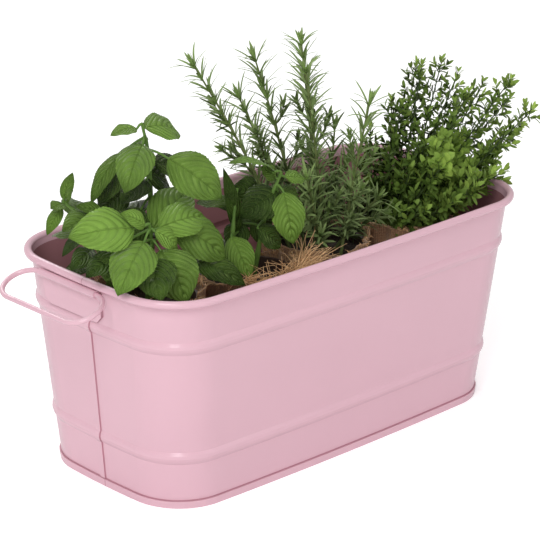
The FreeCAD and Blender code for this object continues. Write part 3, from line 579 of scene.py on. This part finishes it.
for seed, herb in enumerate(herbs, start=41):
    twine_turns(herb, seed)

# Basil plants: soft square stems with leaves in opposite pairs, each pair turned square to the last.
# Blades are ovate, toothed and glossy, puckered up between sunken side veins, paler when young.
side_veins, vein_slant, vein_bend = 7.0, 0.40, 1.6
basil_teeth = 19


def vein_group():
    """Masks of a leaf from its own u along and v across: midrib and side veins, and the net between."""
    group, given = new_group("leaf_veins", {"Count": "Float", "Slant": "Float"},
                             {"Vein": "Float", "Height": "Float", "Net": "Float"})
    surface = add_node(group, "UVMap", uv_map="surface").outputs[0]
    u, v = add_node(group, "SeparateXYZ", {0: surface}).outputs[:2]
    across = calc("ABSOLUTE", calc("MULTIPLY_ADD", v, 2.0, -1.0))
    lag = calc("MULTIPLY", calc("POWER", across, vein_bend), given["Slant"])
    away = calc("PINGPONG", calc("MULTIPLY", calc("SUBTRACT", u, lag), given["Count"]), 0.5)
    side = fall(away, calc("MULTIPLY_ADD", across, -0.05, 0.10))
    middle = fall(across, 0.05)
    cells = add_node(group, "TexVoronoi", {"Vector": surface, "Scale": 34.0}, feature="DISTANCE_TO_EDGE")
    net = fall(cells.outputs["Distance"], 1 / 9)
    dome = calc("SINE", calc("MULTIPLY", away, math.pi))
    height = calc("SUBTRACT", dome, calc("MULTIPLY_ADD", net, 0.10, middle))
    vein = calc("MAXIMUM", side, middle)
    feed(group.nodes.new("NodeGroupOutput"), {"Vein": vein, "Height": height, "Net": net})
    return group


veins = vein_group()


def leaf_material(name, young, old_and_shaded, vein_color, underside, gloss, vein_count, relief):
    """Leaf skin: tone takes it from young to old and dark, the dark end also standing for painted shade deep
    among the leaves, with pale veins, blotches and a paler underside.
    """
    material, tree, shader = new_material(name)
    blotch = noise(own_place(tree), 70.0, 4.0)
    age_and_shade = calc("MULTIPLY_ADD", blotch, 0.7, calc("SUBTRACT", tone_of(tree), 0.33))
    age_and_shade = add_node(tree, "Clamp", {0: age_and_shade}).outputs[0]
    lines = add_node(tree, "Group", {"Count": vein_count, "Slant": vein_slant}, node_tree=veins).outputs
    color = blend(calc("MULTIPLY", lines["Vein"], 0.20), blend(age_and_shade, young, old_and_shaded), vein_color)
    color = blend(calc("MULTIPLY", lines["Net"], 0.14), color, vein_color)
    back = add_node(tree, "NewGeometry").outputs["Backfacing"]
    rough = calc("MULTIPLY_ADD", blotch, 0.16, gloss - 0.08)
    feed(shader, {
        "Base Color": blend(calc("MULTIPLY", back, 0.6), color, underside),
        "Roughness": calc("MULTIPLY_ADD", back, 0.25, rough),
        "Normal": bumped(lines["Height"], relief, 0.0011),
        "Specular IOR Level": 0.42, "Specular Tint": (0.85, 1.0, 0.40, 1)})
    return material


# The old colour is nearly black: it also paints the shade on leaves deep in the plant
basil_skin = leaf_material(
    "basil_skin", (0.185, 0.335, 0.052, 1), (0.003, 0.018, 0.001, 1), (0.24, 0.36, 0.10, 1),
    (0.10, 0.18, 0.04, 1), 0.24, side_veins, 0.8)


def stem_material(name, low, high):
    """Soft green stem with streaks along it."""
    material, tree, shader = new_material(name)
    streak = noise(own_place(tree), 180.0, 3.0)
    feed(shader, {"Base Color": blend(streak, low, high), "Roughness": calc("MULTIPLY_ADD", streak, 0.2, 0.4),
                  "Normal": bumped(streak, 0.3, 0.0005), "Specular IOR Level": 0.2})
    return material


basil_stem = stem_material("basil_stem", (0.06, 0.13, 0.02, 1), (0.16, 0.28, 0.06, 1))


def unit(vector):
    """Direction of a vector, one long."""
    return vector / np.linalg.norm(vector)


def leaf_frame(root, tip, roll):
    """Directions along, across and out of a blade, rolled about its length by quarter turns."""
    along = unit(tip - root)
    across = unit(np.cross(along, [0, 0, 1]))
    out = np.cross(across, along)
    c, s = math.cos(roll * math.pi / 2), math.sin(roll * math.pi / 2)
    return along, across * c + out * s, out * c - across * s


def basil_blade(heap, root, tip, width, roll, tone, rng):
    """Toothed ovate blade: half width u^0.55 (1-u)^0.95, arched along u, cupped and puckered across v."""
    along, across, out = leaf_frame(root, tip, roll)
    length = np.linalg.norm(tip - root)
    u = np.linspace(0, 1, 53)[:, None]
    v = np.linspace(-1, 1, 21)[None, :]
    half = u ** 0.55 * (1 - u) ** 0.95 / 0.373
    tooth = (u * basil_teeth + 0.15 * rng.uniform(-1, 1)) % 1.0
    half = half * (1 + 0.055 * (0.5 - tooth) * np.abs(v) ** 5)
    sweep = 0.10 * v ** 2 * half * width
    phase = (u - vein_slant * np.abs(v) ** vein_bend) * side_veins
    pucker = np.sin(math.pi * phase) ** 2 * (1 - np.abs(v) ** 3) * np.sin(math.pi * u) ** 0.5
    bow, drop, twist = rng.uniform(0.75, 1.2), rng.uniform(0.0, 0.05), rng.uniform(-0.25, 0.25)
    lift = 0.105 * bow * np.sin(math.pi * u ** 0.85) * length - drop * u ** 3 * length
    cup = width * half * (0.16 * np.abs(v) - 0.17 * v ** 2 + 0.10 * twist * v * u)
    ripple = 0.022 * width * np.sin(2 * math.pi * (2.5 * u + rng.uniform(0, 1)) + 1.5 * v) * v ** 2
    rise = lift + cup + ripple + 0.013 * width * pucker
    side = v * half * width / 2
    points = root + along * (u * length + sweep)[..., None] + across * side[..., None] + out * rise[..., None]
    uv = np.stack(np.broadcast_arrays(u, (v + 1) / 2), -1)
    heap.add(points, grid_faces(u.size, v.size, False), tone, uv)


def smooth_line(corners, count):
    """Curve through given points: a Catmull-Rom line sampled at equal shares of each span."""
    points = np.asarray(corners, float)
    ends = np.concatenate([[2 * points[0] - points[1]], points, [2 * points[-1] - points[-2]]])
    spans = []
    for p0, p1, p2, p3 in zip(ends, ends[1:], ends[2:], ends[3:]):
        t = np.linspace(0, 1, count, endpoint=False)[:, None]
        spans.append(0.5 * (2 * p1 + (p2 - p0) * t + (2 * p0 - 5 * p1 + 4 * p2 - p3) * t ** 2
                            + (3 * p1 - p0 - 3 * p2 + p3) * t ** 3))
    return np.concatenate(spans + [points[-1:]])


basil_size, basil_width = np.array([0.060, 0.060, 0.132]), 0.036
basil_stem_radii, petiole_radii = (0.0020, 0.0011), (0.0010, 0.0006)

# All in hundredths. Stems: places from the pot's middle, as shares of the spread and rise.
# Leaves: where the petiole leaves the stem, where the tip is, the width, the roll about the leaf's
# length in quarter turns, and the tone (0 young, 100 old and in painted shade).
big_basil_stems = np.array([
    [(-5, -15, 0), (-15, -30, 25), (-40, -50, 56)],
    [(10, 10, 0), (12, 8, 70), (-4, 3, 100)],
    [(-30, 20, 0), (-62, 25, 45), (-86, 43, 62)],
]) / 100
big_basil_leaves = np.array([
    (-44, -50, 55, -75, -43, 65, 37, 61, 0), (-38, -53, 53, -8, -63, 41, 42, -61, 0),
    (-31, -48, 52, 51, -43, 50, 72, -50, 8), (-48, -53, 50, -118, -87, 32, 86, 17, 28),
    (-54, -48, 55, -137, -27, 57, 88, 56, 2), (-32, -55, 44, -31, -103, 20, 98, -33, 50),
    (-75, -40, 48, -106, -53, 33, 67, 17, 80), (-37, -43, 40, -75, -107, 26, 86, -6, 78),
    (2, -33, 50, 59, -70, 29, 86, -56, 45), (30, -40, 28, 64, -97, 17, 57, -39, 85),
    (-26, -33, 48, 58, -10, 60, 81, -33, 35), (-12, -7, 58, -55, -17, 39, 76, 28, 85),
    (-71, 3, 57, -129, -7, 57, 57, 33, 50), (-82, -4, 42, -134, -27, 39, 42, 30, 80),
    (-83, 9, 49, -129, -5, 43, 27, 11, 85), (-75, -37, 41, -130, -47, 38, 50, 28, 85),
    (-61, 0, 56, -101, 3, 66, 34, 56, 50), (32, -7, 52, 57, -27, 36, 54, -61, 70),
    (-9, 3, 98, -45, 10, 97, 35, 22, 15), (-5, 3, 98, 51, 0, 90, 72, -33, 25),
    (-4, 0, 91, -67, -40, 74, 72, 11, 40), (10, -17, 84, 54, -67, 62, 86, -61, 42),
    (-28, 7, 88, -70, 17, 62, 38, 28, 60), (-21, 12, 79, -54, 23, 60, 57, 33, 95),
    (14, 10, 78, 61, 0, 65, 62, -44, 95), (10, 10, 68, -44, -7, 62, 54, 22, 95),
    (4, 17, 73, 53, 17, 57, 70, -50, 95), (-11, 20, 64, -50, 23, 53, 64, 28, 95),
    (-88, 43, 62, -67, 50, 75, 25, -22, 30), (-88, 43, 60, -114, 40, 47, 27, 28, 25),
    (-83, 43, 61, -86, 27, 70, 23, -94, 40), (-87, 42, 61, -113, 33, 62, 29, 28, 35),
    (5, 10, 86, 20, 60, 76, 62, 25, 55), (10, 13, 70, -15, 72, 58, 66, -15, 75),
    (13, 13, 66, 55, 58, 54, 68, 20, 70), (12, 14, 50, 15, 85, 40, 80, 10, 80),
    (13, 12, 36, 60, 45, 26, 70, -20, 90), (11, 13, 34, -30, 75, 26, 72, 20, 90),
    (-60, 28, 42, -62, 92, 36, 70, 10, 70), (-72, 34, 50, -40, 88, 54, 60, -20, 60),
    (-45, 24, 25, -68, 75, 16, 62, 20, 85),
]) / 100
small_basil_stems = np.array([
    [(5, 0, 0), (10, -15, 40), (22, -28, 64)],
    [(-20, 5, 0), (-33, -5, 30), (-20, 2, 56)],
]) / 100
small_basil_leaves = np.array([
    (16, -27, 64, -55, -22, 77, 49, 6, 30), (18, -25, 60, 0, -17, 68, 34, 61, 55),
    (25, -28, 61, 57, -33, 57, 35, -39, 25), (20, -33, 56, 15, -57, 28, 66, -28, 30),
    (28, -22, 54, 62, -22, 42, 42, -50, 70), (27, -22, 53, -31, -17, 43, 74, 50, 95),
    (22, 3, 47, -19, 10, 55, 62, 72, 95), (-18, 0, 29, -31, 13, 67, 32, 78, 85),
    (-40, -8, 34, -45, -48, 15, 55, -28, 35), (-13, -23, 37, 12, -40, 24, 53, -50, 90),
    (6, 7, 37, 33, 0, 23, 67, -78, 85), (1, 10, 34, -32, 3, 24, 52, 28, 85),
    (11, -2, 30, 35, 48, 30, 62, 10, 85), (-25, 4, 42, -5, 55, 42, 60, -10, 80),
    (-28, 3, 48, -45, 45, 46, 48, 20, 70), (-24, 6, 20, -30, 60, 18, 60, 10, 95),
]) / 100


def place_in(herb, shares, size):
    """Places given as shares of a plant's spread and rise from its pot's middle."""
    return pot_middles[herb] + shares * size


def basil_plant(herb, stem_shares, leaf_rows, seed):
    """Stems, petioles and blades; a petiole runs from the stem in a small arc to the blade's foot."""
    rng = np.random.default_rng(seed)
    stems = [smooth_line(line, 10) for line in place_in(herb, stem_shares, basil_size)]
    stalks, blades = Heap(), Heap()
    for line in stems:
        knots = 1 + 0.15 * np.cos(np.linspace(0, 10 * math.pi, len(line)))
        stalks.tube(line, np.linspace(*basil_stem_radii, len(line)) * knots, 10)
    whole = np.concatenate(stems)
    for row in leaf_rows:
        root, tip = place_in(herb, row[:3], basil_size), place_in(herb, row[3:6], basil_size)
        width, roll, tone = row[6:]
        foot = root + (tip - root) * 0.07
        start = whole[np.argmin(np.linalg.norm(whole - root, axis=1))]
        arc = smooth_line([start, (start + foot) / 2 + [0, 0, 0.0008], foot, foot + (tip - foot) * 0.06], 5)
        stalks.tube(arc, np.linspace(*petiole_radii, len(arc)), 8)
        basil_blade(blades, foot, tip, width * basil_width, roll, tone, rng)
    blades.piece(herb, "leaves", basil_skin, "basil_leaf", "plant")
    stalks.piece(herb, "stems", basil_stem, "basil_leaf")


basil_plant("big_basil", big_basil_stems, big_basil_leaves, 61)
basil_plant("small_basil", small_basil_stems, small_basil_leaves, 62)


# Rosemary: slim woody stems set with whorls of narrow leathery needles that rise and then bend outward.
# Each stem grows straight from its own foot in the soil to its tip, with short side shoots low down.
def stem_feet(herb, count, spread):
    """Feet on the soil along a spiral of equal golden turns, so that they are spread evenly."""
    i = np.arange(count)
    radius = spread * np.sqrt((i + 0.5) / count)
    turn = i * math.pi * (3 - math.sqrt(5))
    return pot_middles[herb] + np.stack([radius * np.cos(turn), radius * np.sin(turn), np.zeros(count)], -1)


def matched_feet(feet, tips):
    """Two tips change feet wherever both stems then lean less in all, so that none cross."""
    changed = True
    while changed:
        changed = False
        for i in range(len(tips)):
            for j in range(i):
                now = ((feet[i] - tips[i])[:2] ** 2).sum() + ((feet[j] - tips[j])[:2] ** 2).sum()
                other = ((feet[j] - tips[i])[:2] ** 2).sum() + ((feet[i] - tips[j])[:2] ** 2).sum()
                if other < now:
                    feet[[i, j]] = feet[[j, i]]
                    changed = True
    return feet


def bowed_stem(foot, tip, count):
    """Line from foot to tip that bows to the upright side of its chord by a share of its lean."""
    t = np.linspace(0, 1, count)[:, None]
    lean = (tip - foot) * [1, 1, 0]
    return foot + (tip - foot) * t - lean * (stem_bow * 4 * t * (1 - t))


def side_of(along, turn):
    """Direction square to a line's direction, at a turn round it."""
    guide = np.array([1.0, 0, 0]) if abs(along[0]) < 0.8 else np.array([0, 1.0, 0])
    side = unit(np.cross(along, guide))
    return side * math.cos(turn) + np.cross(along, side) * math.sin(turn)


def point_on(line, share):
    """Point at a share of a line's points, and the line's direction there."""
    place = share * (len(line) - 1)
    low = min(int(place), len(line) - 2)
    return line[low] + (line[low + 1] - line[low]) * (place - low), unit(line[low + 1] - line[low])


def bent_blade(heap, root, along, out, length, width, opening, bend, fold, tone, rows, widest, blunt):
    """Narrow leaf: a strip that leaves the stem at one angle, bends outward by another, and is folded.

    Its half width grows as u^widest and closes as (1-u)^blunt, so two small powers give a needle.
    """
    u = np.linspace(0, 1, rows)[:, None]
    angle = opening + bend * u
    heading = along * np.cos(angle) + out * np.sin(angle)
    upper = along * np.sin(angle) - out * np.cos(angle)
    step = (heading[1:] + heading[:-1]) / 2 * (length / (rows - 1))
    line = root + np.concatenate([np.zeros((1, 3)), np.cumsum(step, axis=0)])
    peak = widest / (widest + blunt)
    half = (u + 0.02) ** widest * (1 - u) ** blunt / (peak ** widest * (1 - peak) ** blunt) * width / 2
    v = np.array([-1.0, 0.0, 1.0])
    points = line[:, None] + np.cross(along, out) * (v * half)[..., None] \
        + upper[:, None] * (fold * np.abs(v) * half)[..., None]
    uv = np.stack(np.broadcast_arrays(u, (v + 1) / 2), -1)
    heap.add(points, grid_faces(rows, 3, False), tone, uv)


# The old colour is nearly black: it also paints the shade deep inside the bush
rosemary_skin = leaf_material(
    "rosemary_skin", (0.27, 0.43, 0.115, 1), (0.004, 0.019, 0.001, 1), (0.33, 0.43, 0.17, 1),
    (0.20, 0.27, 0.11, 1), 0.30, 0.0, 0.3)
rosemary_bark = stem_material("rosemary_bark", (0.07, 0.10, 0.025, 1), (0.20, 0.24, 0.09, 1))
rosemary_size, rosemary_root_spread, stem_bow = np.array([0.060, 0.060, 0.160]), 0.020, 0.05
whorl_step, shoot_step, needle_length, needle_width = 0.0095, 0.0065, 0.0225, 0.0019
needle_fold, needle_powers = -0.3, (0.2, 0.4)
rosemary_stem_radius, shoot_radius = 0.0014, 0.0008
pot_lane = 0.0395

# In hundredths: tips as shares of the spread and rise, and the tone of each sprig, where a higher tone is
# darker, partly as painted shade
rosemary_sprigs = np.array([
    (-120, 97, 92, 20), (-58, 83, 74, 35), (-43, 70, 92, 50), (-16, 17, 102, 35), (-45, -20, 94, 30),
    (30, -57, 77, 15), (70, 40, 54, 55), (-73, 77, 50, 45), (-50, -30, 45, 5), (50, -62, 30, 50),
    (55, 0, 42, 55),
]) / 100


def clear_of_lanes(herb, point, margin):
    """Whether a point stays out of the columns of air that the other pots need when they are lifted."""
    for other in herbs:
        middle = pot_middles[other]
        if other != herb and math.hypot(point[0] - middle[0], point[1] - middle[1]) < pot_lane + margin:
            return False
    left, own, right = pot_middles["small_basil"], pot_middles["rosemary"][0], pot_middles["thyme"][0]
    if herb == "thyme":
        return point[0] > (own + right) / 2 + 0.004
    beside = point[0] > left[0] + pot_lane + margin or point[1] > left[1] + pot_lane + margin
    return beside and point[0] < (own + right) / 2 + 0.002


def needle_shoot(stalks, needles, line, first, step, reach, radius, tone, rng):
    """Stem with whorls every step; the last whorl opens widest, and a bud of short needles ends it."""
    length = np.linalg.norm(np.diff(line, axis=0), axis=1).sum()
    stalks.tube(line, np.linspace(radius, radius * 0.45, len(line)), 7)
    for place in np.arange(length - 0.002, first, -step):
        share = place / length
        centre, along = point_on(line, share)
        start = rng.uniform(0, 2 * math.pi)
        count = int(rng.integers(7, 10))
        for k in range(count):
            out = side_of(along, start + 2 * math.pi * k / count + rng.normal(0, 0.18))
            long = reach * rng.uniform(0.72, 1.05) * min(1, 0.7 + share)
            # Needles darken toward the stem's foot: painted shade inside the bush
            shade = tone + 0.7 * (1 - share) ** 1.3 + rng.normal(0, 0.2)
            root = centre + along * rng.uniform(-0.001, 0.001)
            opening, bend = rng.normal(0.62, 0.14), rng.normal(0.75, 0.3)
            if clear_of_lanes("rosemary", root + out * long * 0.85 + along * long * 0.4, 0.002):
                bent_blade(needles, root, along, out, long, needle_width, opening, bend, needle_fold, shade,
                           7, *needle_powers)
    along = unit(line[-1] - line[-2])
    for k in range(6):
        out = side_of(along, 2 * math.pi * k / 6 + rng.normal(0, 0.2))
        long = rng.uniform(0.35, 0.6) * reach
        bent_blade(needles, line[-1] - along * 0.001, along, out, long, needle_width,
                   rng.uniform(0.05, 0.3), rng.uniform(0.0, 0.4), needle_fold, tone - 0.1, 6, *needle_powers)


def rosemary_plant(herb, seed):
    """Main stems with whorls of long needles, and side shoots with shorter ones on their lower halves."""
    rng = np.random.default_rng(seed)
    tips = place_in(herb, rosemary_sprigs[:, :3], rosemary_size)
    feet = matched_feet(stem_feet(herb, len(tips), rosemary_root_spread), tips)
    stalks, needles = Heap(), Heap()
    for foot, tip, tone in zip(feet, tips, rosemary_sprigs[:, 3]):
        line = bowed_stem(foot, tip - unit(tip - foot) * 0.006, 24)
        needle_shoot(stalks, needles, line, 0.012, whorl_step, needle_length, rosemary_stem_radius, tone, rng)
        for share in (0.2, 0.34, 0.48, 0.62):
            centre, along = point_on(line, share * rng.uniform(0.9, 1.1))
            out = side_of(along, rng.uniform(0, 2 * math.pi))
            reach = rng.uniform(0.016, 0.027)
            end = centre + (along * 0.75 + out * 0.6) * reach
            if clear_of_lanes(herb, end, 0.006) and end[2] > foot[2] + 0.012:
                # Side shoots low in the bush are toned darker: painted shade
                shoot = smooth_line([centre, centre + (along * 0.25 + out * 0.35) * reach, end], 4)
                needle_shoot(stalks, needles, shoot, 0.005, shoot_step, needle_length * 0.62, shoot_radius,
                             tone + 0.25, rng)
    needles.piece(herb, "needles", rosemary_skin, "rosemary_leaf", "plant")
    stalks.piece(herb, "stems", rosemary_bark, "rosemary_leaf")


rosemary_plant("rosemary", 71)

# Thyme: a bushy clump of thin branching stems with small pointed leaves in opposite pairs.
# Old leaves are dark, and leaves low on the stems are darkened as painted shade; the tips are yellow-green,
# and so is one clump of rounder young leaves in front.
# The old colour is nearly black: it also paints the shade deep inside the clump
thyme_skin = leaf_material(
    "thyme_skin", (0.46, 0.66, 0.130, 1), (0.004, 0.014, 0.001, 1), (0.26, 0.40, 0.08, 1),
    (0.10, 0.18, 0.03, 1), 0.24, 3.0, 0.3)
thyme_bark = stem_material("thyme_bark", (0.02, 0.035, 0.012, 1), (0.09, 0.14, 0.04, 1))
thyme_size, thyme_root_spread = np.array([0.080, 0.080, 0.120]), 0.022
twig_step, pair_step, thyme_leaf_length, thyme_leaf_width = 0.0076, 0.0024, 0.0080, 0.0030
thyme_stem_radii, twig_radii = (0.0010, 0.0004), (0.00045, 0.0003)
young_clump, young_clump_reach = place_in("thyme", np.array([0.18, -0.45, 0.50]), thyme_size), 0.0165
young_clump_facing = np.array([-0.65, -0.67, 0.36])

# In hundredths: tips as shares of the spread and rise, the tone of each sprig (higher is darker, partly as
# painted shade), and its leaves' size
thyme_sprigs = np.array([
    (35, 47, 70, 85, 90), (17, 17, 75, 85, 90), (60, 40, 92, 75, 85), (46, 20, 96, 75, 85),
    (57, 5, 100, 70, 85), (61, -12, 94, 70, 85), (100, 15, 68, 70, 85), (39, -45, 89, 60, 90),
    (71, -35, 90, 60, 90), (80, -60, 94, 55, 90), (98, -45, 78, 55, 90), (97, -74, 75, 50, 90),
    (92, -65, 62, 45, 95), (93, -50, 58, 50, 95), (72, -50, 44, 35, 125), (5, 45, 55, 95, 90),
    (-20, 30, 41, 95, 90), (-32, 10, 33, 90, 95), (-38, -40, 24, 80, 100), (-30, -60, 26, 75, 100),
    (-5, -72, 30, 65, 100), (20, -76, 36, 60, 105), (45, -72, 40, 40, 120), (6, -50, 50, 60, 100),
    (12, -20, 56, 70, 100), (45, -33, 60, 65, 100), (-8, -20, 42, 75, 100), (25, 45, 40, 95, 90),
    (74, -62, 36, 50, 110),
]) / 100


def youth_at(point):
    """Share of the young clump at a point: 1 in its middle, and 0 outside its flattened ball."""
    apart = point - young_clump
    apart = apart - young_clump_facing * (0.8 * (apart @ young_clump_facing))
    return math.exp(-(np.linalg.norm(apart) / young_clump_reach) ** 4)


def leafy_twig(stalks, leaves, root, direction, length, tone, size, rng):
    """Thin twig with opposite pairs of leaves, each pair turned a quarter from the one below."""
    t = np.linspace(0, 1, 4)[:, None]
    line = root + direction * (length * t) + np.array([0, 0, 0.15]) * length * t ** 2
    stalks.tube(line, np.linspace(*twig_radii, 4), 3)
    pairs = max(2, int(length / pair_step))
    for pair in range(pairs + 1):
        share = (pair + 0.6) / (pairs + 0.6)
        centre, along = point_on(line, share)
        youth = youth_at(centre)
        quarter = math.pi / 2 * pair + rng.normal(0, 0.3)
        opening = math.radians(62 - 34 * share)
        for flip in (0, math.pi):
            out = side_of(along, quarter + flip)
            reach = thyme_leaf_length * size * rng.uniform(0.75, 1.15) * (1 + 0.25 * youth)
            # Leaves are paler toward the twig's tip, where they are young, and in the young clump; the darker
            # ones further in are partly painted shade
            shade = tone + 0.28 + rng.normal(0, 0.2) - 0.45 * share ** 2 - 1.4 * youth
            width = thyme_leaf_width * size * rng.uniform(0.85, 1.15) * (1 + youth)
            if clear_of_lanes("thyme", centre + out * reach, 0.0):
                bent_blade(leaves, centre, along, out, reach, width, opening + rng.normal(0, 0.15),
                           rng.normal(0.15, 0.2), 0.3, shade, 5, 0.75, 0.7)


def thyme_plant(herb, seed):
    """Each stem carries twigs in pairs, longer low down, and ends in a leafy tip with two fine horns."""
    rng = np.random.default_rng(seed)
    tips = place_in(herb, thyme_sprigs[:, :3], thyme_size)
    feet = matched_feet(stem_feet(herb, len(tips), thyme_root_spread), tips)
    stalks, leaves = Heap(), Heap()
    for foot, tip, (tone, size) in zip(feet, tips, thyme_sprigs[:, 3:]):
        line = bowed_stem(foot, tip, 16)
        length = np.linalg.norm(tip - foot)
        stalks.tube(line, np.linspace(*thyme_stem_radii, 16), 5)
        for order, place in enumerate(np.arange(0.010, length - 0.006, twig_step)):
            t = place / length
            centre, along = point_on(line, t)
            quarter = math.pi / 2 * order + rng.normal(0, 0.4)
            for flip in (0, math.pi):
                out = side_of(along, quarter + flip)
                tilt = math.radians(rng.uniform(38, 60))
                direction = along * math.cos(tilt) + out * math.sin(tilt)
                reach = rng.uniform(0.006, 0.013) * (1.15 - 0.5 * t)
                # Twigs low on the stem are toned darker: painted shade
                leafy_twig(stalks, leaves, centre, direction, reach, tone + 0.25 * (1 - t), size, rng)
        along = unit(tip - foot)
        leafy_twig(stalks, leaves, tip - along * 0.008, along, 0.008, tone - 0.25, size, rng)
        turn = rng.uniform(0, math.pi)
        for flip in (0, math.pi):
            bent_blade(leaves, tip, along, side_of(along, turn + flip), 0.0075, 0.0013, 0.35, 0.8, 0.3,
                       tone - 0.45, 5, 0.3, 0.5)
    leaves.piece(herb, "leaves", thyme_skin, "thyme_leaf", "plant")
    stalks.piece(herb, "stems", thyme_bark, "thyme_leaf")


thyme_plant("thyme", 81)

# Output settings
scene.view_settings.view_transform = "Standard"
